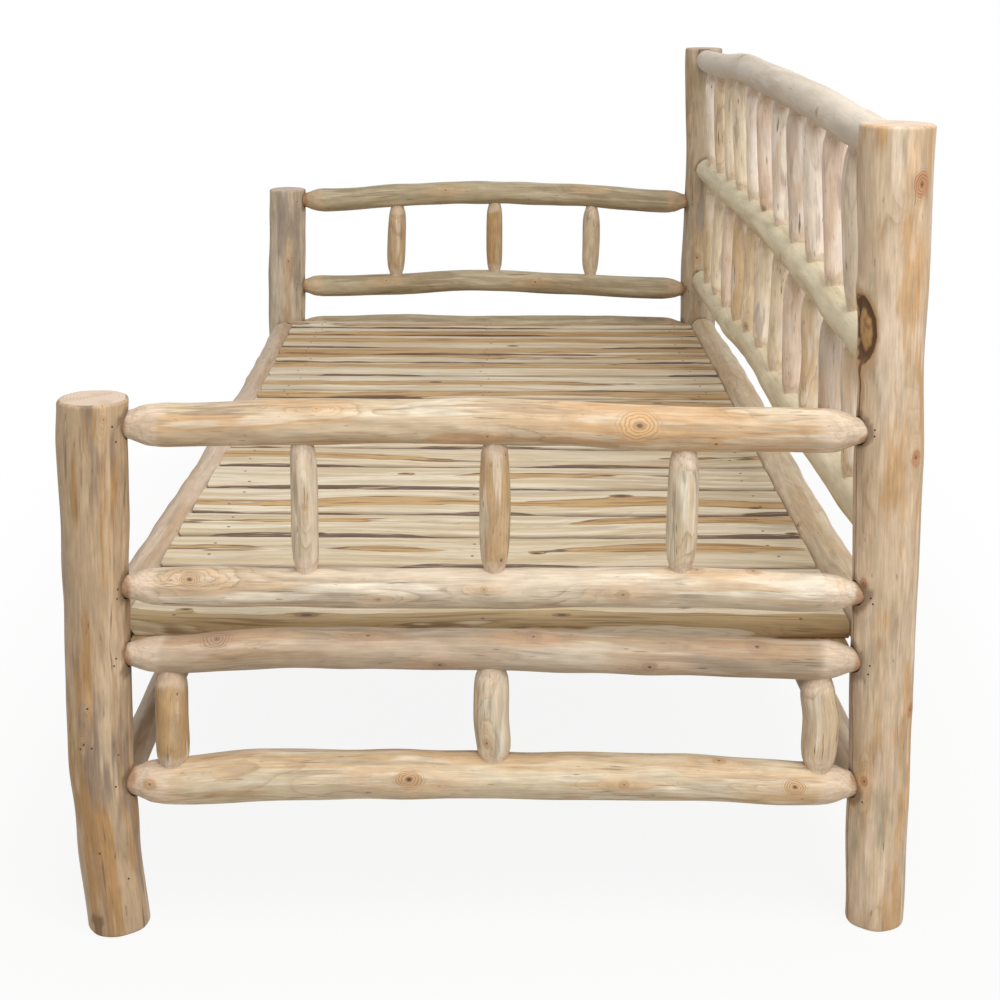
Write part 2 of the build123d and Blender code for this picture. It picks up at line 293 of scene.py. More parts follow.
class Coats:
    """A material in the making: the coats of colour on it so far, and what its meshes store.

    grain is each point's place in the log, knot its offsets from the nearest knot, and tint
    three numbers of the piece's own.
    """

    def __init__(self, name: str, *labels: str) -> None:
        """Start a material without nodes that knows what its meshes store by some labels.

        Args:
            name: the material's name.
            *labels: names of what its meshes store.
        """
        self.material = bpy.data.materials.new(name)
        self.material.use_nodes = True
        self.material.node_tree.nodes.clear()
        self.add = partial(add_node, self.material.node_tree)
        self.stored = {label: self.add("Attribute", attribute_name=label).outputs["Vector"]
                       for label in labels}
        self.colour: Link | tuple = WHITE

    def noise(self, scale: Triple, detail: float, shift: Triple = (0, 0, 0), roughness: float = 0.5,
              place: Link | None = None) -> Node:
        """Noise drawn out along the grain.

        Args:
            scale: marks in a metre, along the grain and across it.
            detail: how much finer noise lies in it.
            shift: where in the noise the wood starts.
            roughness: how strong the finer noise is.
            place: what it is drawn on, if not the grain.

        Returns:
            The noise.
        """
        spread = self.add("Mapping", {"Vector": place or self.stored["grain"], "Location": shift,
                                      "Scale": scale})
        return self.add("TexNoise", {"Vector": spread, "Scale": 1.0, "Detail": detail,
                                     "Roughness": roughness})

    def from_pith(self) -> tuple[Node, Node]:
        """Each point's place across its log, and its distance from the pith."""
        across = self.add("VectorMath", {0: self.stored["grain"], 1: ACROSS}, operation="MULTIPLY")
        return across, self.add("VectorMath", {0: across}, operation="LENGTH")

    def lay(self, *coats: tuple[Link, str]) -> None:
        """Lay colours over the wood one after another, each through its own mask."""
        for mask, paint in coats:
            self.colour = self.add("Mix", {0: mask, 6: self.colour, 7: linear(paint)}, data_type="RGBA")

    def coat(self, paint: str, value: Link, low: float, high: float, strength: float = 1.0,
             soft: bool = False) -> None:
        """Lay a colour over the wood where a value goes from one level to another.

        Args:
            paint: the colour.
            value: what decides where it lies.
            low: the value where it starts.
            high: the value where it is full.
            strength: how much it covers there.
            soft: whether it rises in a soft curve.
        """
        mask = self.add("MapRange", {"Value": value, "From Min": low, "From Max": high, "To Max": strength},
                        interpolation_type="SMOOTHSTEP" if soft else "LINEAR")
        self.lay((mask, paint))

    def shade(self, noise: Link, dark: float, light: float) -> None:
        """Darken and lighten the wood by a noise.

        Args:
            noise: the noise.
            dark: brightness where it is low.
            light: brightness where it is high.
        """
        share = self.add("MapRange", {
            "Value": noise, "From Min": 0.3, "From Max": 0.7, "To Min": dark, "To Max": light})
        self.colour = self.add("VectorMath", {0: self.colour, 3: share}, operation="SCALE")

    def finish(self, height: Link, relief: float, depth: float, roughness: float,
               specular: float) -> bpy.types.Material:
        """Leave the wood bare, with a little relief.

        Args:
            height: how high each point stands.
            relief: how strongly it shows.
            depth: height of the relief, in metres.
            roughness: the surface's roughness.
            specular: how much it shines.

        Returns:
            The finished material.
        """
        bump = self.add("Bump", {"Height": height, "Strength": relief, "Distance": depth})
        shader = self.add("BsdfPrincipled", {
            "Base Color": self.colour, "Normal": bump, "Roughness": roughness, "IOR": 1.5,
            "Specular IOR Level": specular})
        self.add("OutputMaterial", {"Surface": shader})
        return self.material


@dataclass(frozen=True)
class Figure:
    """One layer of colour in the wood: a patch, a streak or a speck.

    length and width are the size of one mark along and across the grain, in millimetres. low and
    high are the noise levels between which it comes up, so a small difference is a hard edge.
    """

    colour: str
    length: float
    width: float
    low: float
    high: float
    strength: float = 1.0
    detail: float = 2.0


@dataclass(frozen=True)
class PeeledTeak:
    """Teak thinnings, peeled and sanded, unfinished.

    To the eye it is matt and straw-coloured, in sharp-edged patches of cream, tan and grey where
    the knife went from one growth ring to the next. Thin lines run along it like contours and
    close into rings round the knots.
    """

    name: str
    pale: tuple[str, ...]            # sapwood; each piece lies somewhere between these
    figures: tuple[Figure, ...]
    layer: str = "#C4A078"           # wood of the deeper growth rings
    layer_strength: float = 0.45
    line: str = "#9C7C5A"            # late wood, where the knife cut through a growth ring
    line_strength: float = 0.5
    ring: float = 2.7                # mm between growth rings
    ring_sway: float = 8.0           # how many rings the knife wanders through
    halo: str = "#CBA67C"            # warmer wood round a knot
    halo_strength: float = 0.35
    knot_ring: str = "#7F6046"
    knot_strength: float = 0.55
    knot_fill: str = "#C2A480"
    knot_turns: float = 27.0         # ripples of the rings in a knot, to its radius
    core: str = "#4E3222"
    shaved: str = "#DCC6AF"          # fresh wood at a rail's shaped end
    torn: str = "#A0724A"            # bruised fibres at the mouth of a joint
    grime_and_shade: str = "#563A26"           # dirt and shadow in a joint
    fibre: float = 1.0               # strength of the fine fibres
    roughness: float = 0.62
    hollow: bool = False             # whether it has a hollow with bark grown into it

    # Late wood grows dark slowly and ends sharply: place in the ring's year, and darkness.
    YEAR = ((0.06, 0.0), (0.45, 0.03), (0.8, 0.4), (0.94, 1.0))
    LIP, BARK, DEAD, STREAKS, CHECK = "#B78F62", "#583A1D", "#B48B5A", "#6E4B2B", "#70492A"

    def build(self) -> bpy.types.Material:
        """Make the material.

        Returns:
            The material.
        """
        wood = Coats(self.name, "grain", "knot", "tint", *(("scar",) if self.hollow else ()))
        add = wood.add
        shaved, grime_and_shade, piece = add("SeparateXYZ", {0: wood.stored["tint"]}).outputs
        near, halo = self._knot_reach(wood)
        self._patches(wood, piece)
        line = self._growth(wood, halo, shaved, piece)
        wood.coat(self.shaved, shaved, 0.0, 1.0, 0.6)
        wood.coat(self.torn, shaved, 1.0, 2.0, 0.75)
        fibres = self._fibres(wood)
        dent = self._knot(wood, near)
        if self.hollow:
            dent = self._hollow(wood, dent)
        # dirt and painted shade round the mortise mouths, and the bruises
        wood.lay((grime_and_shade, self.grime_and_shade))
        height = add("Math", {0: line, 1: -0.5, 2: fibres}, operation="MULTIPLY_ADD")
        height = add("Math", {0: dent, 1: -1.2, 2: height}, operation="MULTIPLY_ADD")
        return wood.finish(height, 0.35, 0.0009, self.roughness, 0.35)

    def _patches(self, wood: Coats, piece: Link) -> None:
        """Start from the piece's own sapwood and lay each figure over it.

        Args:
            wood: the coats so far.
            piece: which of the sapwood colours the piece has, from 0 to 1.
        """
        wood.colour = wood.add("ValToRGB", {0: piece})
        stops = wood.colour.color_ramp.elements
        stops[0].color, stops[1].color = linear(self.pale[0]), linear(self.pale[-1])
        for number, paint in enumerate(self.pale[1:-1], 1):
            stops.new(number / (len(self.pale) - 1)).color = linear(paint)
        for number, figure in enumerate(self.figures):
            across = 1000 / figure.width
            noise = wood.noise((1000 / figure.length, across, across), figure.detail,
                               (3.1 * number, 1.7 * number, 0.6 * number), 0.55)
            wood.coat(figure.colour, noise, figure.low, figure.high, figure.strength, soft=True)

    @staticmethod
    def _knot_reach(wood: Coats) -> list[Node]:
        """Distance from the nearest knot, in knot radii and a little ragged.

        Args:
            wood: the coats so far.

        Returns:
            The distance, and one that grows more slowly along the grain.
        """
        add = wood.add
        up, side, size = add("SeparateXYZ", {0: wood.stored["knot"]}).outputs
        flat = add("CombineXYZ", {0: up, 1: side})
        noise = wood.noise((60, 110, 110), 2.5)
        reaches = []
        for squeeze, rough in ((0.72, 0.5), (0.26, 1.0)):
            long = add("VectorMath", {0: flat, 1: (squeeze, 1.0, 0.0)}, operation="MULTIPLY")
            reach = add("VectorMath", {0: long}, operation="LENGTH")
            share = add("Math", {0: reach, 1: size}, operation="DIVIDE")
            ragged = add("Math", {0: noise, 1: rough, 2: -rough / 2}, operation="MULTIPLY_ADD")
            reaches.append(add("Math", {0: share, 1: ragged}, operation="ADD"))
        return reaches

    def _growth(self, wood: Coats, halo: Link, shaved: Link, piece: Link) -> Node:
        """Show the growth rings where the peeled surface cuts through them.

        Args:
            wood: the coats so far.
            halo: distance from the nearest knot, slow along the grain.
            shaved: above 0 on a shaped end, which cuts across all of its rings.
            piece: a number of the piece's own, from 0 to 1.

        Returns:
            How strongly each point is late wood.
        """
        add = wood.add
        _, radius = wood.from_pith()
        sway = add("Math", {0: wood.noise((3.4, 17, 17), 2.5, roughness=0.45), 1: self.ring_sway},
                   operation="MULTIPLY")
        count = add("Math", {0: radius, 1: 1000 / self.ring, 2: sway}, operation="MULTIPLY_ADD")
        far = add("Math", {0: halo, 1: halo, 2: 1.2}, operation="MULTIPLY_ADD")
        bend = add("Math", {0: 6.5, 1: far}, operation="DIVIDE")       # rings rise round a knot
        count = add("Math", {0: count, 1: bend}, operation="ADD")
        layer = add("Math", {0: count}, operation="FLOOR")
        own = add("Math", {0: piece, 1: 57.0, 2: layer}, operation="MULTIPLY_ADD")
        wood.coat(self.layer, add("TexWhiteNoise", {"W": own}, noise_dimensions="1D"), 0.4, 0.9,
                  self.layer_strength)
        wood.coat(self.halo, halo, 2.6, 1.4, self.halo_strength)

        ramp = add("ValToRGB", {0: add("Math", {0: count}, operation="FRACT")})
        ramp.color_ramp.elements[0].color = (0.4, 0.4, 0.4, 1)
        ramp.color_ramp.elements[1].color = (0.5, 0.5, 0.5, 1)
        for spot, level in self.YEAR:
            ramp.color_ramp.elements.new(spot).color = (level, level, level, 1)
        patchy = wood.noise((7, 26, 26), 1.0, (5, 5, 5))
        show = add("MapRange", {"Value": patchy, "From Min": 0.46, "From Max": 0.66, "To Min": 0.05})
        cut_across = add("Math", {0: show, 1: shaved}, operation="MAXIMUM")
        line = add("Math", {0: ramp, 1: cut_across}, operation="MULTIPLY")
        wood.lay((add("Math", {0: line, 1: self.line_strength}, operation="MULTIPLY"), self.line))
        return line

    def _fibres(self, wood: Coats) -> Node:
        """Add the fine lengthwise fibres, soft blotches and short dark pores.

        The real fibres are a fifth of a millimetre wide. They are drawn about 1.5 mm wide, so
        that they show.

        Args:
            wood: the coats so far.

        Returns:
            The fibres' height.
        """
        fine = wood.noise((22, 430, 430), 3.0, roughness=0.6)
        soft = wood.noise((30, 75, 75), 3.0, (1, 8, 3))
        for noise, share in ((fine, 0.17 * self.fibre), (soft, 0.13 * self.fibre ** 1.5)):
            wood.shade(noise, 1 - share, 1 + 0.7 * share)
        wood.coat(self.core, wood.noise((45, 300, 300), 1.0, (9, 2, 4)), 0.735, 0.79, 0.5)
        return fine

    def _knot(self, wood: Coats, near: Link) -> Node:
        """Draw the knots: tan inside, with fine rings and a small dark heart.

        Args:
            wood: the coats so far.
            near: distance from the nearest knot, in knot radii.

        Returns:
            How deep the dark heart lies.
        """
        add, soft = wood.add, {"interpolation_type": "SMOOTHSTEP"}
        turns = add("Math", {0: near, 1: self.knot_turns}, operation="MULTIPLY")
        rings = add("MapRange", {"Value": add("Math", {0: turns}, operation="SINE"), "From Min": -0.2,
                                 "To Max": self.knot_strength})
        edge = add("MapRange", {"Value": near, "From Min": 1.5, "From Max": 0.8}, **soft)
        ringed = add("Math", {0: rings, 1: edge}, operation="MULTIPLY")
        heart = add("MapRange", {"Value": near, "From Min": 0.32, "From Max": 0.06,
                                 "To Max": 1.4 * self.knot_strength}, **soft)
        wood.coat(self.knot_fill, near, 1.15, 0.8, 0.7, soft=True)
        wood.lay((ringed, self.knot_ring), (heart, self.core))
        return heart

    def _hollow(self, wood: Coats, dent: Link) -> Node:
        """Args:
            wood: the coats so far.
            dent: how deep the knots' hearts lie.

        Returns:
            How deep each point lies.
        """
        add, scar = wood.add, wood.stored["scar"]
        noise = wood.noise((70, 130, 130), 3.0)
        reach = add("VectorMath", {0: scar}, operation="LENGTH")
        ragged = add("Math", {0: noise, 1: 0.45, 2: reach}, operation="MULTIPLY_ADD")
        wood.coat(self.LIP, ragged, 1.5, 1.3, 0.7, soft=True)
        wood.coat(self.BARK, ragged, 1.27, 1.17, 0.95)
        dead = add("MapRange", {"Value": ragged, "From Min": 0.86, "From Max": 0.74, "To Max": 0.95})
        streak = add("MapRange", {"Value": noise, "From Min": 0.5, "From Max": 0.62, "To Max": 0.6})
        inner = add("Math", {0: dead, 1: streak}, operation="MULTIPLY")
        up, side, _ = add("SeparateXYZ", {0: scar}).outputs
        wander = add("Math", {0: noise, 1: 0.16, 2: side}, operation="MULTIPLY_ADD")
        gap = add("Math", {0: wander}, operation="ABSOLUTE")
        opening = add("MapRange", {"Value": up, "From Min": -3.1, "From Max": -1.0,
                                   "To Min": 0.03, "To Max": 0.15})
        split = add("Math", {0: opening, 1: gap}, operation="SUBTRACT")
        check = add("MapRange", {"Value": split, "From Min": -0.02, "From Max": 0.02})
        below = add("Math", {0: up, 1: -0.8}, operation="LESS_THAN")
        check = add("Math", {0: check, 1: below}, operation="MULTIPLY")
        wood.lay((dead, self.DEAD), (inner, self.STREAKS), (check, self.CHECK))
        return add("Math", {0: check, 1: 2.0, 2: dent}, operation="MULTIPLY_ADD")


@dataclass(frozen=True)
class SawnEnd:
    """End grain of teak, sawn across and lightly sanded.

    To the eye it is a pale, dry disc with thin rings and a few fine cracks from the pith.
    """

    name: str
    pale: str = "#D2BEAB"
    dark: str = "#AF947A"
    crack: str = "#86694F"
    ring: float = 4.0                # mm between growth rings

    def build(self) -> bpy.types.Material:
        """Make the material.

        Returns:
            The material.
        """
        wood = Coats(self.name, "grain")
        add = wood.add
        across, radius = wood.from_pith()
        noise = add("TexNoise", {"Vector": across, "Scale": 34.0, "Detail": 2.0})
        count = add("Math", {0: radius, 1: 1000 / self.ring, 2: noise}, operation="MULTIPLY_ADD")
        year = add("Math", {0: count}, operation="FRACT")
        ring = add("MapRange", {"Value": year, "From Min": 0.4, "To Max": 0.6})
        _, side, up = add("SeparateXYZ", {0: wood.stored["grain"]}).outputs
        spoke = add("CombineXYZ", {0: add("Math", {0: up, 1: side}, operation="ARCTAN2"), 1: radius})
        wood.colour = linear(self.pale)
        wood.lay((ring, self.dark))
        wood.coat(self.dark, noise, 0.5, 0.65, 0.35)
        wood.coat(self.crack, wood.noise((7.0, 12.0, 1.0), 1.0, place=spoke), 0.71, 0.76, 0.7)
        return wood.finish(ring, 0.2, 0.0006, 0.75, 0.3)


@dataclass(frozen=True)
class SawnTeak:
    """Teak slats, sawn through small logs and sanded, with the round of the log left on the edges.

    To the eye each slat is cream sapwood with a band of golden heartwood that swells and
    narrows along it, edged with a dark brown line. Scraps of purple-brown bark cling to its
    edges.
    """

    name: str
    sap: str = "#E1D4BB"
    sap_warm: str = "#C7B18B"
    sap_grey: str = "#B5A48C"
    heart: str = "#BE9A67"
    heart_dark: str = "#8A6439"
    border: str = "#6B4A2C"
    wane_and_gap_shade: str = "#7B5F48"            # the log's own skin on the edges, darkened as painted shade of the gaps between slats
    bark: str = "#4C3227"
    eye: str = "#3E2A1D"             # the middle of a knot
    heart_radius: float = 24.0       # mm from the pith to the sapwood
    ring: float = 3.6                # mm between growth rings

    # Each noise's shift, marks in a metre along and across the grain, and detail.
    NOISES = {"sway": (0, 4.5, 30, 3.0), "warmth": (4, 3, 70, 3.0), "grey": (6, 4, 45, 3.0),
              "dark": (8, 6, 150, 2.0), "broken": (2, 7, 30, 1.0), "bark": (9, 2.6, 14, 3.0),
              "fine": (0, 14, 480, 3.0)}
    SWAY = 0.034                     # metres that the heartwood's edge wanders
    KNOT_PULL = 0.018                # metres that a knot draws the rings out

    def build(self) -> bpy.types.Material:
        """Make the material.

        Returns:
            The material.
        """
        wood = Coats(self.name, "grain", "knot", "tint")
        add = wood.add
        skin, rim_gap, piece = add("SeparateXYZ", {0: wood.stored["tint"]}).outputs
        noises = {label: wood.noise((along, across, across), detail, (shift,) * 3)
                  for label, (shift, along, across, detail) in self.NOISES.items()}
        near, inward, depth = self._rings(wood, noises["sway"])
        year = add("Math", {0: depth, 1: 1000 / self.ring}, operation="MULTIPLY")
        year = add("Math", {0: year}, operation="FRACT")
        off_edge = add("Math", {0: inward}, operation="ABSOLUTE")
        scrap = add("MapRange", {"Value": noises["bark"], "From Min": 0.47, "From Max": 0.66,
                                 "To Min": 0.0008, "To Max": 0.011})       # metres in from the edge
        cling = add("Math", {0: scrap, 1: rim_gap}, operation="SUBTRACT")

        masks = {}
        for label, value, low, high, top in (
                ("warm", noises["warmth"], 0.44, 0.6, 0.8), ("grey", noises["grey"], 0.5, 0.64, 0.55),
                ("own", piece, 0.5, 1.0, 0.35), ("heart", inward, -0.0005, 0.0009, 0.95),
                ("dark", noises["dark"], 0.5, 0.64, 0.9), ("ring", year, 0.55, 1.0, 0.25),
                ("rim", off_edge, 0.0016, 0.0002, 0.9), ("shown", noises["broken"], 0.42, 0.56, 1.0),
                ("wane_and_gap_shade", skin, 0.0, 1.0, 0.85), ("bark", cling, -0.0004, 0.0012, 0.85),
                ("streaky", noises["fine"], 0.3, 0.47, 1.0), ("knot", near, 1.35, 0.8, 0.85),
                ("eye", near, 0.65, 0.3, 0.8)):
            masks[label] = add("MapRange", {"Value": value, "From Min": low, "From Max": high, "To Max": top},
                               interpolation_type="SMOOTHSTEP")
        for label, first, second in (("deep", "dark", "heart"), ("border", "rim", "shown"),
                                     ("bark", "bark", "streaky")):
            masks[label] = add("Math", {0: masks[first], 1: masks[second]}, operation="MULTIPLY")
        wood.colour = linear(self.sap)
        # the wane colour is the log's skin and also painted shade of the gaps between slats
        wood.lay(*((masks[label], paint) for label, paint in (
            ("warm", self.sap_warm), ("grey", self.sap_grey), ("own", self.sap_warm), ("heart", self.heart),
            ("deep", self.heart_dark), ("ring", self.heart_dark), ("border", self.border),
            ("wane_and_gap_shade", self.wane_and_gap_shade), ("bark", self.bark), ("knot", self.border), ("eye", self.eye))))
        wood.shade(noises["fine"], 0.87, 1.07)
        return wood.finish(noises["fine"], 0.3, 0.0008, 0.6, 0.35)

    def _rings(self, wood: Coats, sway: Link) -> tuple[Node, Node, Node]:
        """Work out where in its log each point lay.

        Args:
            wood: the coats so far.
            sway: a slow unevenness.

        Returns:
            Distance from the knot in knot radii, depth inside the heartwood, and distance from
            the pith.
        """
        add = wood.add
        _, radius = wood.from_pith()
        up, side, size = add("SeparateXYZ", {0: wood.stored["knot"]}).outputs
        flat = add("CombineXYZ", {0: up, 1: side})
        squeeze = add("VectorMath", {0: flat, 1: (0.5, 1.0, 0.0)}, operation="MULTIPLY")
        reach = add("VectorMath", {0: squeeze}, operation="LENGTH")
        near = add("Math", {0: reach, 1: size}, operation="DIVIDE")
        far = add("Math", {0: near, 1: near, 2: 1.0}, operation="MULTIPLY_ADD")
        pull = add("Math", {0: self.KNOT_PULL, 1: far}, operation="DIVIDE")
        swayed = add("Math", {0: sway, 1: -self.SWAY, 2: radius}, operation="MULTIPLY_ADD")
        depth = add("Math", {0: swayed, 1: pull}, operation="SUBTRACT")
        inward = add("Math", {0: self.heart_radius * MM - self.SWAY / 2, 1: depth}, operation="SUBTRACT")
        return near, inward, depth


@dataclass(frozen=True)
class SawnBoard:
    """Rough-sawn teak board of the hidden bearers.

    To the eye it is plain and tan, with straight streaks along the board.
    """

    name: str
    pale: str = "#CDB28A"
    streak: str = "#A98759"

    def build(self) -> bpy.types.Material:
        """Make the material.

        Returns:
            The material.
        """
        wood = Coats(self.name)
        noise = wood.noise((4, 110, 110), 4.0, place=wood.add("TexCoord").outputs["Object"])
        wood.colour = linear(self.pale)
        wood.coat(self.streak, noise, 0.35, 0.65)
        return wood.finish(noise, 0.4, 0.001, 0.7, 0.3)


@dataclass(frozen=True)
class DullSteel:
    """Plain steel wire nails, gone dull.

    To the eye each head is a small grey-brown dot with a little sheen.
    """

    name: str
    bright: str = "#8F8575"
    rust: str = "#6A5038"

    def build(self) -> bpy.types.Material:
        """Make the material.

        Returns:
            The material.
        """
        steel = Coats(self.name)
        place = steel.add("TexCoord").outputs["Object"]
        steel.colour = linear(self.bright)
        spots = steel.add("TexNoise", {"Vector": place, "Scale": 700.0, "Detail": 2.0})
        steel.coat(self.rust, spots, 0.4, 0.6)
        shader = steel.add("BsdfPrincipled", {"Base Color": steel.colour, "Metallic": 0.9, "Roughness": 0.5})
        steel.add("OutputMaterial", {"Surface": shader})
        return steel.material


PEELED = PeeledTeak("peeled teak", ("#D3BA97",), (
    Figure("#C09A6E", 300, 30, 0.48, 0.57, 0.75),
    Figure("#E2D0B2", 220, 22, 0.53, 0.59, 0.75),
    Figure("#A8937A", 240, 16, 0.56, 0.66, 0.7, 3.0),
    Figure("#7D6651", 90, 5, 0.66, 0.73, 0.7, 2.0),
))


class Tone(Enum):
    """The finishes of this bench, by where they are used."""

    POST = replace(PEELED, name="peeled teak post, straw and grey", pale=("#B69C7D",), figures=(
        Figure("#A77F50", 230, 30, 0.5, 0.6, 0.85, 3.0),
        Figure("#8D7A69", 190, 26, 0.51, 0.63, 0.85, 3.0),
        Figure("#CAB293", 240, 18, 0.56, 0.66, 0.7),
        Figure("#6C5849", 120, 7, 0.63, 0.72, 0.7, 3.0),
    ), line_strength=0.4, layer="#A88457", layer_strength=0.35)
    FAR_POST = replace(PEELED, name="peeled teak post, grey beige", pale=("#C6B59D",), figures=(
        Figure("#AD8F66", 260, 28, 0.5, 0.62, 0.7, 3.0),
        Figure("#93867A", 240, 24, 0.52, 0.64, 0.75, 3.0),
        Figure("#D0C1A9", 220, 18, 0.56, 0.66, 0.6),
        Figure("#6F5F52", 120, 7, 0.63, 0.72, 0.6, 3.0),
    ), line_strength=0.3, layer="#A88C66", layer_strength=0.3)
    TALL_POST = replace(PEELED, name="peeled teak post, pinkish straw", pale=("#CBB59A",), figures=(
        Figure("#BF9562", 160, 32, 0.5, 0.62, 0.75, 3.0),
        Figure("#A79983", 150, 24, 0.52, 0.66, 0.75, 3.0),
        Figure("#DCC9B2", 200, 18, 0.55, 0.64, 0.75),
        Figure("#C98F5F", 60, 9, 0.62, 0.72, 0.6, 3.0),
        Figure("#7E6755", 130, 6, 0.64, 0.73, 0.5, 3.0),
    ), line_strength=0.5, layer_strength=0.3, knot_ring="#80482A", knot_fill="#B98157", core="#43281B",
        knot_strength=0.55, hollow=True)
    ARM_RAIL = replace(PEELED, name="peeled teak rail, cream and peach", pale=("#C7B395",), figures=(
        Figure("#BE976C", 260, 26, 0.5, 0.56, 0.8),
        Figure("#D6CBB5", 200, 20, 0.53, 0.58, 0.8),
        Figure("#93826D", 260, 14, 0.57, 0.64, 0.75, 3.0),
        Figure("#705D4E", 80, 4, 0.66, 0.72, 0.8, 2.0),
    ), line_strength=0.65, knot_ring="#916C4A", knot_fill="#D2AA78")
    PALE_RAIL = replace(PEELED, name="peeled teak rail, pale cream", pale=("#CFBFA8",), figures=(
        Figure("#C2A784", 240, 24, 0.52, 0.6, 0.65),
        Figure("#E2D8C6", 200, 20, 0.53, 0.6, 0.75),
        Figure("#A49684", 260, 14, 0.56, 0.64, 0.7, 3.0),
        Figure("#756354", 80, 4, 0.66, 0.72, 0.8, 2.0),
    ), layer="#CFAE86", layer_strength=0.4, line="#8F7A62", line_strength=0.65)
    SEAT_RAIL = replace(PEELED, name="peeled teak rail, pinkish grey", pale=("#B6A48E",), figures=(
        Figure("#A18A6D", 300, 24, 0.5, 0.6, 0.65),
        Figure("#C8BDAA", 240, 20, 0.53, 0.62, 0.7),
        Figure("#8C7F70", 300, 16, 0.55, 0.66, 0.75, 3.0),
        Figure("#6A5A4C", 70, 4, 0.66, 0.72, 0.8, 2.0),
    ), layer="#B28F6B", layer_strength=0.35, line="#806A55", line_strength=0.45, halo="#B89069",
        knot_fill="#A98D74", knot_ring="#775F4C", knot_strength=0.6, fibre=0.9)
    STRETCHER = replace(PEELED, name="peeled teak rail, warm straw", pale=("#CEBDA0",), figures=(
        Figure("#BE9E75", 280, 24, 0.5, 0.58, 0.7),
        Figure("#DED4BF", 200, 18, 0.53, 0.6, 0.7),
        Figure("#9F8D77", 240, 12, 0.57, 0.65, 0.65, 3.0),
        Figure("#715E4E", 80, 4, 0.66, 0.72, 0.8, 2.0),
    ), knot_fill="#C59E73", knot_ring="#83603F", knot_strength=0.65)
    LONG_RAIL = replace(PEELED, name="peeled teak rail, mauve grey", pale=("#C4AE97",), figures=(
        Figure("#AF9274", 340, 28, 0.5, 0.62, 0.7),
        Figure("#D4C3AE", 260, 22, 0.54, 0.64, 0.6),
        Figure("#9A8878", 240, 16, 0.57, 0.68, 0.6, 3.0),
    ), layer_strength=0.25, line="#86705A", line_strength=0.3, fibre=0.7)
    BACK_SEAT_RAIL = replace(LONG_RAIL, name="peeled teak rail, beige", pale=("#D6C2A3",), figures=(
        Figure("#C2A681", 340, 28, 0.5, 0.62, 0.7),
        Figure("#E2D2B8", 260, 22, 0.54, 0.64, 0.6),
        Figure("#AD9A81", 240, 16, 0.57, 0.68, 0.6, 3.0),
    ))
    TOP_RAIL = replace(PEELED, name="peeled teak rail, weathered grey", pale=("#D6CAB9",), figures=(
        Figure("#BBAD99", 360, 34, 0.48, 0.66, 0.6),
        Figure("#DDD3C5", 300, 26, 0.54, 0.68, 0.5),
    ), layer_strength=0.08, line="#8E7C62", line_strength=0.12, knot_ring="#8A7458", knot_fill="#B7A382",
        shaved="#C6B9A5", torn="#97805F", halo_strength=0.1, fibre=0.4)
    BACK_RAIL = replace(PEELED, name="peeled teak rail, olive beige", pale=("#E0D3B3",), figures=(
        Figure("#C3B28B", 320, 30, 0.5, 0.64, 0.6),
        Figure("#E9DDBF", 260, 24, 0.54, 0.66, 0.5),
    ), layer_strength=0.12, line="#86744F", line_strength=0.2, shaved="#C4B494", torn="#8C744C",
        halo_strength=0.2, fibre=0.5)
    FAR_RAIL = replace(PEELED, name="peeled teak rail, olive grey", pale=("#B1A284",), figures=(
        Figure("#988769", 300, 26, 0.48, 0.6, 0.8),
        Figure("#C6B99D", 240, 16, 0.54, 0.64, 0.7),
        Figure("#796852", 160, 9, 0.6, 0.7, 0.7, 3.0),
    ), layer="#94794F", layer_strength=0.3, line="#7A6342", line_strength=0.35, shaved="#C9AC8C", fibre=0.9)
    SPINDLE = replace(PEELED, name="peeled teak spindle", pale=("#D7C8AF", "#B79568"), figures=(
        Figure("#C6B08D", 160, 20, 0.5, 0.6, 0.6),
        Figure("#E2DAC9", 140, 14, 0.54, 0.62, 0.55),
        Figure("#9F917E", 110, 9, 0.56, 0.66, 0.75, 3.0),
        Figure("#624F40", 60, 3.5, 0.66, 0.72, 0.85, 2.0),
    ), layer_strength=0.4, line_strength=0.6)
    BACK_SPINDLE = replace(PEELED, name="peeled teak back spindle", pale=(
        "#FFF2E2", "#DAC296", "#F5DDC8", "#CDBDAD", "#F9EACD", "#DFC298"), figures=(
        Figure("#DABB97", 140, 26, 0.53, 0.66, 0.45),
        Figure("#FFF6ED", 120, 24, 0.52, 0.66, 0.5),
        Figure("#A8958A", 110, 16, 0.57, 0.68, 0.55, 3.0),
        Figure("#6F5744", 60, 5, 0.64, 0.71, 0.85, 3.0),
    ), layer="#C9A887", layer_strength=0.2, line_strength=0.4, fibre=0.8)
    END_GRAIN = SawnEnd("sawn teak end grain")
    SLAT = SawnTeak("sawn teak slat, sapwood and heartwood")
    EDGE_SLAT = SawnTeak("sawn teak slat, olive heartwood", sap="#F0E2C6", sap_warm="#DCC79E",
                         sap_grey="#CDBB9F", heart="#C6A97A", heart_dark="#997B52", border="#8E6F4A",
                         heart_radius=21.0)
    BEARER = SawnBoard("rough sawn teak board")
    NAIL = DullSteel("dull steel nail")
    PIN = DullSteel("rusty steel pin", "#5A4A3C", "#3E2A1D")

    def material(self) -> bpy.types.Material:
        """Give this finish's material, made the first time it is asked for."""
        return bpy.data.materials.get(self.value.name) or self.value.build()


# ---- poles ----------------------------------------------------------------------------------


@dataclass(frozen=True)
class Knot:
    """A knot on a pole or slat.

    along is its place in millimetres along the pole, bearing its direction round the pole in
    degrees, and size its radius in millimetres. The wood stands proud round it by swell, and its
    middle is hollow by depth.
    """

    along: float
    bearing: float
    size: float
    swell: float = 1.2
    depth: float = 0.0


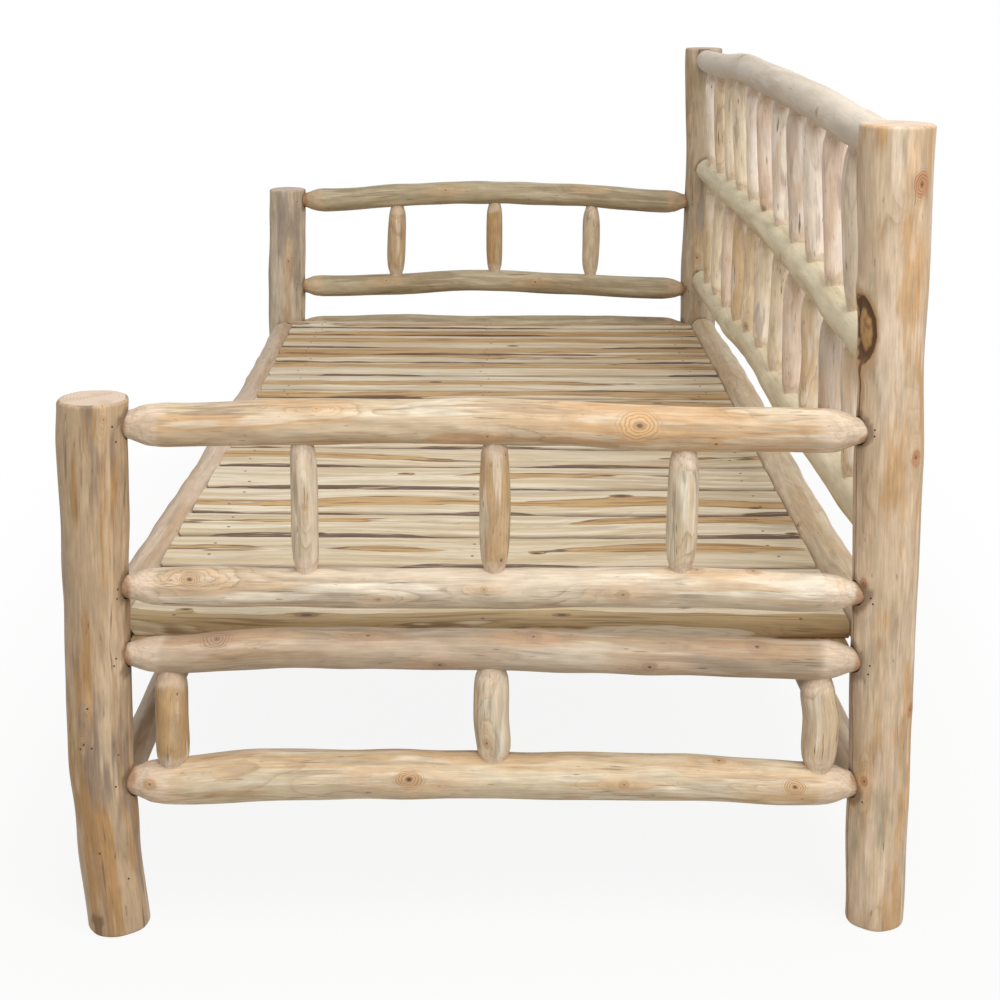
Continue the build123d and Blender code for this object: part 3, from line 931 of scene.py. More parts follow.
@dataclass(frozen=True)
class Hollow:
    """A long hollow in a post, where a branch died and bark grew in.

    along and bearing place it as a knot's do. length and width are half its size.
    """

    along: float = 797
    bearing: float = -74
    length: float = 43
    width: float = 25
    depth: float = 6
    lip: float = 2.0


class End(Enum):
    """How a pole ends."""

    SAWN = "cut square, with a worn edge"
    SHAVED = "tapered, with a tenon in a mortise"
    SEATED = "pushed into a socket"


@dataclass
class Solid:
    """What is read from a packed pole: its main axis, and its sections along it."""

    axis: int
    along: Array
    middle: Array
    radius: Array

    FEWEST = 8                       # corners that make a section
    OFF_ROUND = 0.0012               # a corner further off the circle belongs to a bored hole

    @property
    def cross(self) -> list[int]:
        """The two axes across the pole."""
        return [i for i in range(3) if i != self.axis]

    @staticmethod
    def circle(points: Array) -> tuple[Array, float]:
        """Fit a circle to points in a plane.

        Args:
            points: the points, two numbers each.

        Returns:
            The circle's middle and its radius.
        """
        terms = np.c_[2 * points, np.ones(len(points))]
        x, y, rest = np.linalg.lstsq(terms, (points ** 2).sum(1), rcond=None)[0]
        return np.array((x, y)), math.sqrt(rest + x * x + y * y)

    @classmethod
    def read(cls, points: Array) -> "Solid":
        """Find the many-sided sections that a pole was lofted through.

        Args:
            points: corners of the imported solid.

        Returns:
            The pole's sections, in order.
        """
        axis = int(np.ptp(points, axis=0).argmax())
        others = [i for i in range(3) if i != axis]
        level = np.round(points[:, axis] * 1e4).astype(int)
        rows = []
        for one in sorted(set(level)):
            flat = np.unique(np.round(points[level == one][:, others], 5), axis=0)
            if len(flat) < cls.FEWEST:
                continue
            middle, radius = cls.circle(flat)
            kept = np.abs(np.hypot(*(flat - middle).T) - radius) < cls.OFF_ROUND
            if kept.sum() >= cls.FEWEST:
                middle, radius = cls.circle(flat[kept])
                rows.append((points[level == one][0, axis], *middle, radius))
        table = np.array(rows)
        return cls(axis, table[:, 0], table[:, 1:3], table[:, 3])


@dataclass
class Pole:
    """One peeled pole with its own bends, flats, lumps and knots."""

    name: str
    solid: Solid
    end: End
    knots: tuple[Knot, ...] = ()
    hollow: Hollow | None = None
    shade: float | None = None       # which of the finish's sapwood colours it has
    around: int = 44
    pitch: float = 0.007             # between rings of the mesh
    lumps: float = 0.0008            # how uneven it is
    oval: float = 0.02
    true_round: float = 0.966        # its size against the corners of the solid's flats
    worn: float = 0.0035             # radius of the worn edge on a sawn end
    sway: float = 0.0                # extra wander of its centre line
    barrel: float = 2.4              # how full a spindle's belly is; 1 is a plain double cone
    sunk: float = 0.019              # how deep a spindle's tip is in its socket
    # spots of dirt and painted shade round the joints, with their reach
    grime_and_shade: list[tuple[Array, float]] = field(default_factory=list)

    # Girth of a shaved end, from inside its mortise outwards: metres off the post, share.
    NOSE = ((-0.010, -0.001, 0.006, 0.013, 0.021, 0.031, 0.043), (0.54, 0.62, 0.7, 0.805, 0.9, 0.965, 1.0))
    FACETS = 9                       # cuts of the drawknife round a shaved end
    HELD = 0.035                     # metres out of a joint where the pole is as uneven as it gets
    TIP = 0.86                       # girth of a spindle's end in its socket, as a share
    CLOSEST = 0.0018                 # least room between two rings of the mesh
    CAP_RINGS = (0.72, 0.45, 0.2)    # rings on a sawn end, as shares of its radius

    def __post_init__(self) -> None:
        """Set up the centre line, the girth and the unevenness."""
        rng = seeded(self.name)
        along, middle, radius = self.solid.along, self.solid.middle, self.solid.radius * self.true_round
        if self.end is End.SAWN:          # leave the solid's own worn edges out
            radius = radius.copy()
            radius[0], radius[-1] = radius[1], radius[-2]
        self.low, self.high = along[0], along[-1]
        self.lines = [Curve(along, middle[:, i]) for i in (0, 1)]
        shaved = self.end is End.SHAVED
        self.body = Curve(along[3:-3], radius[3:-3]) if shaved else Curve(along, radius)
        self.shoulders = (along[1], along[-2]) if shaved else (self.low, self.high)
        self.nose = Curve(*self.NOSE)
        if self.shade is None:
            self.shade = rng.uniform(0, 1)
        self.shift = rng.uniform(0, 40)
        self.pith = rng.uniform(-0.15, 0.15, 2) * radius.mean()
        self.lump = Wander(rng, 9, (0, 3), (0.09, 0.5))
        self.flat = Wander(rng, 7, (3, 8), (0.12, 0.6))
        self.squash = Wander(rng, 3, (2, 2), (0.8, 2.5))
        self.drift = [Wander(rng, 3, (0, 0), (0.15, 0.5)) for _ in range(2)]
        self.twist = rng.uniform(0, 6.3)

    def off_end(self, along: Array) -> Array:
        """Distance from the nearer joint, below zero inside it.

        Args:
            along: places along the pole.

        Returns:
            The distances, in metres.
        """
        low, high = self.shoulders
        inside = self.sunk if self.end is End.SEATED else 0.0
        return np.minimum(along - low, high - along) - inside

    def girth(self, along: Array) -> Array:
        """The pole's mean radius at each place along.

        Args:
            along: places along the pole.

        Returns:
            The radii.
        """
        if self.end is End.SHAVED:
            return self.body(along) * self.nose(self.off_end(along))
        if self.end is End.SEATED:
            middle, half = (self.low + self.high) / 2, (self.high - self.low) / 2
            share = np.clip((along - middle) / half, -1, 1)
            full = self.body(middle + half * np.sign(share) * np.abs(share) ** self.barrel)
            return full * (self.TIP + (1 - self.TIP) * ease(-0.003, 0.016, self.off_end(along)))
        return self.body(along)

    def _held(self, along: Array) -> Array:
        """How free the surface is to be uneven: none where the pole sits in a joint.

        Args:
            along: places along the pole.

        Returns:
            Shares from 0 to 1.
        """
        if self.end is End.SAWN:
            return np.ones_like(along)
        return ease(0.0, self.HELD, self.off_end(along))

    def centre(self, along: Array) -> Array:
        """The centre line's two cross coordinates at each place along.

        Args:
            along: places along the pole.

        Returns:
            Two numbers for each place.
        """
        free = self._held(along)
        return np.stack([line(along) + self.sway * free * drift(along, 0.0)
                         for line, drift in zip(self.lines, self.drift)], -1)

    def _off(self, spot: Knot | Hollow, along: Array, angle: Array) -> tuple[Array, Array]:
        """How far points are from a knot or hollow, along the pole and round it, in metres."""
        turn = (angle - math.radians(spot.bearing) + np.pi) % (2 * np.pi) - np.pi
        return along - spot.along * MM, turn * self.girth(along)

    def radius(self, along: Array, angle: Array) -> Array:
        """The pole's radius at each place along and direction round it.

        Args:
            along: places along the pole.
            angle: directions round it.

        Returns:
            The radii.
        """
        free = self._held(along)
        girth = self.girth(along)
        size = girth * (1 + free * self.oval * self.squash(along, angle))
        size = size + free * self.lumps * (self.lump(along, angle) + 0.6 * self.flat(along, angle))
        if self.end is End.SHAVED:
            side = 2 * np.pi / self.FACETS
            turn = (angle + self.twist + 9 * along) % side - side / 2
            facet = math.cos(side / 2) / np.cos(turn) * 1.02 - 1
            off = self.off_end(along)
            size = size * (1 + 0.8 * facet * ease(0.0, 0.008, off) * (1 - ease(0.02, 0.05, off)))
        for knot in self.knots:
            up, side = self._off(knot, along, angle)
            far = np.hypot(up * 0.7, side) / (knot.size * MM)
            size = size + free * knot.swell * MM * np.exp(-(far / 1.9) ** 2)
            size = size - free * knot.depth * MM * np.exp(-(far / 0.55) ** 2)
        if self.hollow:
            up, side = self._off(self.hollow, along, angle)
            far = np.hypot(up / self.hollow.length, side / self.hollow.width) / MM
            pit = (1 - ease(0.8, 1.05, far)) * (1 - 0.6 * (1 - ease(0.35, 0.75, far)))
            lip = np.exp(-((far - 1.2) / 0.25) ** 2)
            size = size - self.hollow.depth * MM * pit + self.hollow.lip * MM * lip
        return size

    def _stations(self) -> Array:
        """Places along the pole where the mesh has a ring, closer at shaved ends and knots.

        Returns:
            The places, rising.
        """
        low, high = self.low, self.high
        spots = [np.linspace(low, high, max(4, int((high - low) / self.pitch)))]
        if self.end is not End.SAWN:
            inside = self.sunk if self.end is End.SEATED else 0.0
            for shoulder, way in zip(self.shoulders, (1, -1)):
                spots.append(shoulder + way * (inside + np.linspace(-0.012, 0.044, 22)))
        for knot in self.knots:
            if knot.depth:
                spots.append((knot.along + np.linspace(-2, 2, 25) * knot.size) * MM)
        if self.hollow:
            spots.append((self.hollow.along + np.linspace(-1.6, 1.6, 65) * self.hollow.length) * MM)
        spots = np.unique(np.round(np.concatenate(spots), 5))
        spots = spots[(spots >= low) & (spots <= high)]
        keep = [spots[0]]
        for spot in spots[1:-1]:
            if min(spot - keep[-1], high - spot) > self.CLOSEST:
                keep.append(spot)
        return np.array([*keep, high])

    def _rings(self) -> tuple[Array, Array, Array]:
        """Rings of the mesh from one end to the other, end caps included.

        Returns:
            Place along, share of the full radius, and whether it is part of a cap, ring by ring.
        """
        along = self._stations()
        if self.end is not End.SAWN:
            return along, np.ones(len(along)), np.zeros(len(along), bool)
        low, high = self.low, self.high
        girth = float(self.girth(np.array([low]))[0])
        turn = np.linspace(0, np.pi / 2, 5)
        inset = 1 - self.worn * (1 - np.cos(turn)) / girth
        body = along[(along > low + self.worn * 1.5) & (along < high - self.worn * 1.5)]
        worn = self.worn * (1 - np.sin(turn))
        count = len(self.CAP_RINGS)
        along = np.concatenate([np.full(count, low), low + worn[::-1], body, high - worn,
                                np.full(count, high)])
        share = np.concatenate([self.CAP_RINGS[::-1], inset[::-1], np.ones(len(body)), inset, self.CAP_RINGS])
        cap = np.zeros(len(along), bool)
        cap[: count + 1] = cap[-count - 1 :] = True
        return along, share, cap

    def place(self, along: Array, across: Array) -> Array:
        """Turn places along and cross coordinates into points of the bench.

        Args:
            along: places along the pole.
            across: the two cross coordinates at each.

        Returns:
            The points, three numbers each.
        """
        out = np.empty((*np.shape(along), 3))
        out[..., self.solid.axis] = along
        out[..., self.solid.cross] = across
        return out

    def skin_point(self, along: float, bearing: float) -> tuple[Vector, Vector]:
        """A point on the pole's skin, and the direction out of the wood there.

        Args:
            along: place along the pole, in millimetres.
            bearing: direction round it, in degrees.

        Returns:
            The point and the direction.
        """
        at, angle = np.array([along * MM]), np.array([math.radians(bearing)])
        out = np.array([np.cos(angle[0]), np.sin(angle[0])])
        across = self.centre(at)[0] + self.radius(at, angle)[0] * out
        return Vector(self.place(at, across[None])[0]), Vector(self.place(np.zeros(1), out[None])[0])

    def mesh(self) -> Skin:
        """Build the pole's closed skin.

        Returns:
            The skin, with the sawn ends in material slot 1.
        """
        along, share, cap = self._rings()
        angle = np.arange(self.around) * 2 * np.pi / self.around
        grid_along, grid_angle = np.meshgrid(along, angle, indexing="ij")
        size = self.radius(grid_along, grid_angle) * share[:, None]
        middle = self.centre(along)[:, None, :]
        across = middle + size[..., None] * np.stack([np.cos(grid_angle), np.sin(grid_angle)], -1)
        points = np.clip(self.place(grid_along, across), *packed_box())
        ends = self.place(along[[0, -1]], self.centre(along[[0, -1]]))

        skin = bmesh.new()
        rings = [[skin.verts.new(p) for p in row] for row in points]
        for n, band in enumerate(wrap(skin, rings)):
            for face in band:
                face.material_index = int(cap[n] and cap[n + 1])
        for row, tip, turn in ((rings[0], ends[0], -1), (rings[-1], ends[1], 1)):
            point = skin.verts.new(tip)
            for i in range(self.around):
                face = skin.faces.new((row[i], row[(i + 1) % self.around], point)[::turn])
                face.material_index = int(self.end is End.SAWN)
        for face in skin.faces:
            face.smooth = True
        bmesh.ops.recalc_face_normals(skin, faces=skin.faces)
        return skin

    def wood_at(self, points: Array) -> dict[str, Array]:
        """Each point's place in the wood, its nearest knot, its wear, and the dirt and painted shade round
        its joints.

        Args:
            points: the points of the pole's mesh, after its mortises are cut.

        Returns:
            What the materials read, by name.
        """
        count = len(points)
        along = points[:, self.solid.axis]
        offset = points[:, self.solid.cross] - self.centre(along)
        angle = np.arctan2(offset[:, 1], offset[:, 0])
        tint = np.zeros((count, 3))
        if self.end is End.SHAVED:
            off = self.off_end(along) + 0.006 * self.lump(along * 3, angle)
            tint[:, 0] = 2 - ease(0.033, 0.048, off) - ease(-0.005, 0.003, off)
        if self.end is End.SEATED:
            off = self.off_end(along) + 0.004 * self.lump(along * 3, angle)
            tint[:, 0] = 1 - ease(0.012, 0.022, off)
        # darken round each joint and bruise: dirt and painted shade
        for spot, reach in self.grime_and_shade:
            gap = np.linalg.norm(points - spot, axis=1)
            gap = gap + 0.006 * self.lump(along * 4, angle)
            tint[:, 1] = np.maximum(tint[:, 1], 0.6 * (1 - ease(reach * 0.8, reach, gap)))
        tint[:, 2] = self.shade
        layers = {"grain": np.c_[along + self.shift, offset - self.pith],
                  "knot": nearest_knot(self.knots, lambda knot: self._off(knot, along, angle), count),
                  "tint": tint}
        if self.hollow:
            up, side = self._off(self.hollow, along, angle)
            scar = np.c_[up / self.hollow.length, side / self.hollow.width, np.zeros(count)] / MM
            spread = 1 + 12 * ease(1.5, 3.0, np.abs(scar[:, 1]))
            layers["scar"] = scar * spread[:, None] ** np.array((0, 1, 0))
        return layers


def nearest_knot(knots: tuple[Knot, ...], off: Callable[[Knot], tuple[Array, Array]],
                 count: int) -> Array:
    """Offsets of points from the knot that matters most to each.

    Far from every knot they are drawn out further, so that nothing shows where one knot's
    reach meets another's.

    Args:
        knots: the piece's knots.
        off: gives the points' two distances from a knot.
        count: number of points.

    Returns:
        Distance along, distance across and the knot's radius, point by point.
    """
    table = np.tile(np.array(NO_KNOT), (count, 1))
    best = np.full(count, np.inf)
    for number, knot in enumerate(sorted(knots, key=lambda one: one.along)):
        up, side = off(knot)
        up = up * (-1) ** number         # neighbours are mirrored, so they meet with one sign
        size = knot.size * MM
        far = np.hypot(up * 0.26, side) / size
        stretch = 1 + 15 * ease(3.0, 6.0, far)
        closer = far < best
        best[closer] = far[closer]
        table[closer] = np.c_[up * stretch, side * stretch, np.full(count, size)][closer]
    return table


def corners_of(node: str) -> Array:
    """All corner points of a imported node."""
    return np.array([v.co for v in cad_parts[node].data.vertices])


@cache
def packed_box() -> tuple[Array, Array]:
    """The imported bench's lowest and highest corner; no lump may stand out of it."""
    corners = np.concatenate([corners_of(node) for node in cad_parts])
    return corners.min(axis=0), corners.max(axis=0)


def hang(name: str, mesh: Mesh, tones: tuple[Tone, ...], slot: str, *nodes: str) -> None:
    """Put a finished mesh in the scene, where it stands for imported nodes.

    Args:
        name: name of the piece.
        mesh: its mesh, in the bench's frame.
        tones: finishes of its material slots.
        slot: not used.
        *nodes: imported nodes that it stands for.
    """
    piece = put(name, mesh)
    for tone in tones:
        mesh.materials.append(tone.material())
    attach(piece, "root")
    if nodes:
        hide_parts(*nodes)
    log.info("%s: %d faces", name, len(mesh.polygons))


def cut(skin: Skin, tools: Skin) -> Mesh:
    """Bore holes into a skin.

    Args:
        skin: the piece.
        tools: closed skins of the drills.

    Returns:
        The bored mesh.
    """
    piece, drills = (put(label, settle(one, label)) for label, one in (("bored", skin), ("drills", tools)))
    for _ in range(2):
        piece.data.materials.append(None)
    modifier = piece.modifiers.new("bore", "BOOLEAN")
    modifier.operation = "DIFFERENCE"
    modifier.solver = "EXACT"
    modifier.object = drills
    bpy.context.view_layer.update()
    done = bpy.data.meshes.new_from_object(piece.evaluated_get(bpy.context.evaluated_depsgraph_get()))
    slots = np.empty(len(done.polygons), np.int32)
    done.polygons.foreach_get("material_index", slots)
    done.materials.clear()
    done.polygons.foreach_set("material_index", slots)
    for used in (piece, drills):
        bpy.data.meshes.remove(used.data)
    return done


@dataclass
class Mouth:
    """One mortise mouth: where a rail goes into a post."""

    rail: Pole
    at_low: bool
    clearance: float                 # ring of shadow round the rail's nose

    AROUND = 32                      # sides of the drill
    # Metres out of the post, and how much of the clearance there is. The drill starts at the tenon's tip.
    FLARE = ((-0.010, 0.8), (0.0, 1.0), (0.006, 1.6), (0.014, 3.0))

    def point(self, off: float) -> tuple[Array, float]:
        """The rail's centre and its radius, off metres out of the post.

        Args:
            off: how far out of the post, in metres.

        Returns:
            The centre and the radius.
        """
        low, high = self.rail.shoulders
        along = np.array([low + off if self.at_low else high - off])
        return self.rail.place(along, self.rail.centre(along))[0], float(self.rail.girth(along)[0])

    def drill(self, tools: Skin) -> None:
        """Add this mouth's drill, flared a little outside the wood.

        Args:
            tools: skin that gets the drill.
        """
        rng = seeded(f"mouth {self.rail.name} {self.at_low}")
        side, up = np.eye(3)[self.rail.solid.cross]
        angle = np.arange(self.AROUND) * 2 * np.pi / self.AROUND
        wild = 1 + 0.5 * np.cos(2 * angle + rng.uniform(0, 6)) + 0.5 * np.cos(7 * angle + rng.uniform(0, 6))
        depth = self.rail.shoulders[0] - self.rail.low
        rings = []
        for off, gap in ((-depth - MM, 0.5), *self.FLARE):
            middle, girth = self.point(off)
            size = girth + self.clearance * gap * (1 + 0.35 * wild)
            rings.append([tools.verts.new(middle + s * (math.cos(a) * side + math.sin(a) * up))
                          for a, s in zip(angle, size)])
        caps = [tools.faces.new(rings[0]), tools.faces.new(rings[-1])]
        bmesh.ops.recalc_face_normals(tools, faces=sum(wrap(tools, rings), caps))


# A nail's head and shank from the top down: share of the head's radius, and height in metres.
NAIL_SHAPE = ((0.55, 0.0005), (0.9, 0.0003), (1.0, -0.0001), (0.95, -0.0006), (0.45, -0.0007), (0.45, -0.01))
NAIL_SIDES = 10


def drive(heads: Skin, spot: Vector, out: Vector, size: float) -> None:
    """Drive one nail or pin: a low domed head and a short shank.

    Args:
        heads: skin that gets it.
        spot: middle of the head, on the wood.
        out: direction out of the wood.
        size: radius of the head.
    """
    side = out.orthogonal().normalized()
    up = out.cross(side).normalized()
    turns = [k * 2 * math.pi / NAIL_SIDES for k in range(NAIL_SIDES)]
    rows = [[heads.verts.new(spot + size * share * (math.cos(turn) * side + math.sin(turn) * up) + rise * out)
             for turn in turns] for share, rise in NAIL_SHAPE]
    caps = [heads.faces.new(rows[0]), heads.faces.new(rows[-1][::-1])]
    faces = sum(wrap(heads, rows), caps)
    for face in faces:
        face.smooth = True
    bmesh.ops.recalc_face_normals(heads, faces=faces)


# ---- the bench ------------------------------------------------------------------------------


class Side(Enum):
    """The two ends of the bench."""

    RIGHT = "right"
    LEFT = "left"


RIGHT_KNOTS = {
    "arm_rail": (Knot(173, 20, 17, 1.5, 0.6), Knot(-214, 52, 5), Knot(-9, -24, 4), Knot(266, -26, 6),
                 Knot(-300, 150, 9)),
    "lower_arm_rail": (Knot(159, -3, 6.5, 1.5, 0.8), Knot(321, 80, 7), Knot(251, 74, 7),
                       Knot(-377, 41, 9, 2.0), Knot(-144, -16, 3), Knot(-13, 17, 3.5), Knot(60, 200, 8)),
    "end_seat_rail": (Knot(-348, 56, 12, 2.0, 0.8), Knot(-158, 60, 6), Knot(-68, -26, 6, 1.5, 0.6),
                      Knot(49, 60, 8), Knot(195, -14, 7, 1.5, 0.6), Knot(329, 52, 9, 1.5, 0.6)),
    "end_stretcher": (Knot(-440, 16, 7, 1.5, 1.0), Knot(-108, 14, 12, 1.5, 0.5), Knot(290, 76, 6),
                      Knot(167, 6, 5), Knot(385, 16, 10, 1.8, 0.8)),
    "lower_spindle_front": (Knot(326, 30, 6, 1.0, 0.5), Knot(296, 21, 4)),
    "arm_spindle_middle": (Knot(507, 29, 6), Knot(640, 50, 4)),
    "arm_spindle_front": (Knot(575, 8, 4, 0.6, 0.4),),
    "lower_spindle_middle": (Knot(262, -20, 5),),
}
LEFT_KNOTS = {
    "arm_rail": (Knot(-120, 20, 7), Knot(210, 40, 6), Knot(30, 170, 9)),
    "lower_arm_rail": (Knot(90, 10, 7), Knot(-260, 30, 6)),
    "end_seat_rail": (Knot(120, 170, 9), Knot(-200, 200, 8)),
    "end_stretcher": (Knot(-60, 160, 9), Knot(240, 190, 7)),
}


@dataclass
class EndFrame:
    """The rails and spindles between the two posts of one end."""

    side: Side
    rail_lumps: float = 0.0009
    spindle_lumps: float = 0.0006

    RAILS = {"arm_rail": Tone.ARM_RAIL, "lower_arm_rail": Tone.PALE_RAIL, "end_seat_rail": Tone.SEAT_RAIL,
             "end_stretcher": Tone.STRETCHER}
    SPINDLES = ("arm_spindle", "lower_spindle")
    SHADES = {"arm_spindle_front": 0.0, "arm_spindle_middle": 0.85, "arm_spindle_back": 0.1,
              "lower_spindle_front": 1.0, "lower_spindle_middle": 0.0, "lower_spindle_back": 0.45}
    FAR_SHADES = {"arm_spindle_front": 0.75, "arm_spindle_middle": 1.0, "arm_spindle_back": 0.3}

    def __post_init__(self) -> None:
        """Pick this end's knots and shades."""
        self.knots = RIGHT_KNOTS if self.side is Side.RIGHT else LEFT_KNOTS
        self.shades = self.SHADES | (self.FAR_SHADES if self.side is Side.LEFT else {})

    def rails(self) -> list[Pole]:
        """The four rails of this end.

        Returns:
            The rails, in the order of RAILS.
        """
        names = {kind: f"{kind}_{self.side.value}" for kind in self.RAILS}
        return [Pole(name, Solid.read(corners_of(name)), End.SHAVED, self.knots.get(kind, ()),
                     lumps=self.rail_lumps) for kind, name in names.items()]

    def build(self) -> None:
        """Build the rails and spindles."""
        for rail, tone in zip(self.rails(), self.RAILS.values()):
            plant(rail, tone if self.side is Side.RIGHT else Tone.FAR_RAIL, "rail_wood")
        for kind in self.SPINDLES:
            for place in ("front", "middle", "back"):
                name = f"{kind}_{self.side.value}_{place}"
                pole = Pole(name, Solid.read(corners_of(name)), End.SEATED,
                            self.knots.get(f"{kind}_{place}", ()), shade=self.shades[f"{kind}_{place}"],
                            around=36, pitch=0.006, lumps=self.spindle_lumps, oval=0.04)
                plant(pole, Tone.SPINDLE, "spindle_wood")


SHARP = 35.0                         # degrees from which an edge of a bored pole is sharp


def plant(pole: Pole, tone: Tone, slot: str, tools: Skin | None = None) -> None:
    """Make a pole's piece and put it in its node's place.

    Args:
        pole: the pole.
        tone: finish of its skin.
        slot: handed on to hang, which does not use it.
        tools: drills for its mortises, if it has any.
    """
    name = f"{pole.name}_skin"
    if tools is None:
        mesh = settle(pole.mesh(), name)
    else:
        mesh = cut(pole.mesh(), tools)
        mesh.name = name
        mesh.set_sharp_from_angle(angle=math.radians(SHARP))
    store(mesh, **pole.wood_at(points_of(mesh)))
    hang(f"{pole.name}_pole", mesh, (tone, Tone.END_GRAIN), slot, pole.name)


@dataclass
class LongRails:
    """The rails that run the length of the bench."""

    lumps: float = 0.0009
    top_lumps: float = 0.0005

    TONES = {"seat_rail_front": Tone.LONG_RAIL, "seat_rail_back": Tone.BACK_SEAT_RAIL,
             "stretcher_front": Tone.LONG_RAIL, "stretcher_back": Tone.LONG_RAIL,
             "back_lower_rail": Tone.BACK_RAIL, "back_middle_rail": Tone.BACK_RAIL,
             "back_top_rail": Tone.TOP_RAIL}
    KNOTS = {"back_top_rail": (Knot(620, 176, 7, 0.6), Knot(-260, 120, 10, 1.0)),
             "seat_rail_front": (Knot(240, 170, 9), Knot(-420, 150, 8)),
             "seat_rail_back": (Knot(560, 150, 8),),
             "back_middle_rail": (Knot(300, 190, 8, 0.8),)}

    def rails(self) -> list[Pole]:
        """All long rails."""
        return [Pole(name, Solid.read(corners_of(name)), End.SHAVED, self.KNOTS.get(name, ()), pitch=0.009,
                     lumps=self.top_lumps if name == "back_top_rail" else self.lumps) for name in self.TONES]

    def build(self) -> None:
        """Build the long rails."""
        for rail in self.rails():
            slot = "back_rail_wood" if rail.name.startswith("back") else "rail_wood"
            plant(rail, self.TONES[rail.name], slot)


@dataclass
class Posts:
    """The four posts, with a mortise for every rail end and the pins that hold the tenons."""

    clearance: float = 0.0016
    dirt_and_shade_reach: float = 0.027             # how far the dirt and painted shade reach round a mortise
    lumps: float = 0.0011
    pin_head: float = 0.0013         # radius

    KNOTS = {
        "post_front_right": (Knot(690, 28, 3.5), Knot(315, -11, 4, 1.0, 0.5), Knot(272, -21, 3),
                             Knot(520, 150, 9)),
        "post_back_right": (Knot(971, 31, 11, 2.5, 1.0), Knot(644, 39, 8, 2.5, 2.0),
                            Knot(311, 51, 7, 2.0, 1.5), Knot(482, -50, 5, 1.5), Knot(215, -38, 5),
                            Knot(560, 150, 10)),
        "post_front_left": (Knot(540, 10, 6), Knot(300, 190, 9)),
        "post_back_left": (Knot(551, -15, 9, 2.0, 2.0), Knot(830, -60, 6), Knot(360, 180, 9)),
    }
    PINS = {                         # height in millimetres and bearing in degrees; some are old nail holes
        "post_front_right": ((679, 44), (659, 52), (468, 54), (456, 52), (377, 47), (368, 42), (246, 46),
                             (204, 36), (315, -9), (265, -19), (258, -26), (260, -4), (115, -5), (75, 43)),
        "post_back_right": ((679, -37), (671, -37), (464, -36), (457, -32), (374, -35), (362, -38),
                            (185, -41)),
        "post_front_left": ((676, 40), (484, 44), (384, 44)),
        "post_back_left": ((674, -40), (470, -42), (380, -40)),
    }

    BRUISES = {"post_front_right": ((21, -31, 0.010), (9, -27, 0.010))}    # height, bearing and reach
    TENON = 0.02                     # how deep in its post a rail end is looked for
    NEAR = 0.06                      # and how near to the post's middle it has to be

    def build(self, rails: list[Pole]) -> None:
        """Build the posts, bore them and drive the pins.

        Args:
            rails: every rail of the bench.
        """
        heads = bmesh.new()
        for name, knots in self.KNOTS.items():
            tall = name == "post_back_right"
            pole = Pole(name, Solid.read(corners_of(name)), End.SAWN, knots, Hollow() if tall else None,
                        around=120 if tall else 64, pitch=0.0065, lumps=self.lumps, oval=0.015)
            tools = bmesh.new()
            for mouth in self._mouths(pole, rails):
                mouth.drill(tools)
                pole.grime_and_shade.append((mouth.point(0.0)[0], self.dirt_and_shade_reach))
            for height, bearing, reach in self.BRUISES.get(name, ()):
                pole.grime_and_shade.append((np.array(pole.skin_point(height, bearing)[0]), reach))
            near = Tone.TALL_POST if tall else Tone.POST
            plant(pole, near if name.endswith("right") else Tone.FAR_POST, "post_wood", tools)
            for height, bearing in self.PINS[name]:
                drive(heads, *pole.skin_point(height, bearing), self.pin_head)
        hang("joint_pins", settle(heads, "joint_pins"), (Tone.PIN,), "post_wood")

    def _mouths(self, post: Pole, rails: list[Pole]) -> list[Mouth]:
        """Find the rail ends that meet a post.

        Args:
            post: the post.
            rails: every rail of the bench.

        Returns:
            One mouth for each rail end in this post.
        """
        found = []
        for mouth in (Mouth(rail, at_low, self.clearance) for rail in rails for at_low in (True, False)):
            spot, _ = mouth.point(-self.TENON)
            if np.linalg.norm(post.centre(spot[2:3])[0] - spot[:2]) < self.NEAR:
                found.append(mouth)
        return found


@dataclass
class SpindleBack:
    """The two rows of spindles in the back."""

    sway: float = 0.0015
    lumps: float = 0.0007

    GAP = 0.05                       # room along X from one spindle's corners to the next one's
    SHADES = {"back_spindles_lower": (0.2, 0.8, 0.4, 1.0, 0.9, 0.8, 0.85, 0.45, 0.95, 0.6, 0.3),
              "back_spindles_upper": (0.0, 0.9, 0.8, 0.8, 0.0, 0.4, 0.0, 0.55, 0.0, 0.4, 0.7)}
    KNOTS = {"back_spindles_lower_10": (Knot(600, -60, 7, 1.5, 0.5),),
             "back_spindles_upper_06": (Knot(800, -50, 5, 1.0),),
             "back_spindles_lower_05": (Knot(560, -40, 5, 1.0),),
             "back_spindles_upper_09": (Knot(720, -80, 5, 1.0),),
             "back_spindles_upper_03": (Knot(840, 120, 6, 1.0),)}

    def build(self) -> None:
        """Build each row as one piece of separate spindles."""
        for row, shades in self.SHADES.items():
            corners = corners_of(row)
            order = corners[np.argsort(corners[:, 0])]
            breaks = np.flatnonzero(np.diff(order[:, 0]) > self.GAP) + 1
            points, faces, layers = [], [], []
            for number, (group, shade) in enumerate(zip(np.split(order, breaks), shades), 1):
                name = f"{row}_{number:02d}"
                pole = Pole(name, Solid.read(group), End.SEATED, self.KNOTS.get(name, ()), shade=shade,
                            around=32, lumps=self.lumps, oval=0.06, sway=self.sway, barrel=3.0)
                mesh = settle(pole.mesh(), name)
                base = sum(map(len, points))
                points.append(points_of(mesh))
                faces += [[base + v for v in face.vertices] for face in mesh.polygons]
                layers.append(pole.wood_at(points[-1]))
                bpy.data.meshes.remove(mesh)
            whole = bpy.data.meshes.new(f"{row}_skin")
            whole.from_pydata(np.concatenate(points).tolist(), [], faces)
            whole.shade_smooth()
            store(whole, **{label: np.concatenate([layer[label] for layer in layers]) for label in layers[0]})
            hang(f"{row}_poles", whole, (Tone.BACK_SPINDLE,), "spindle_wood", row)


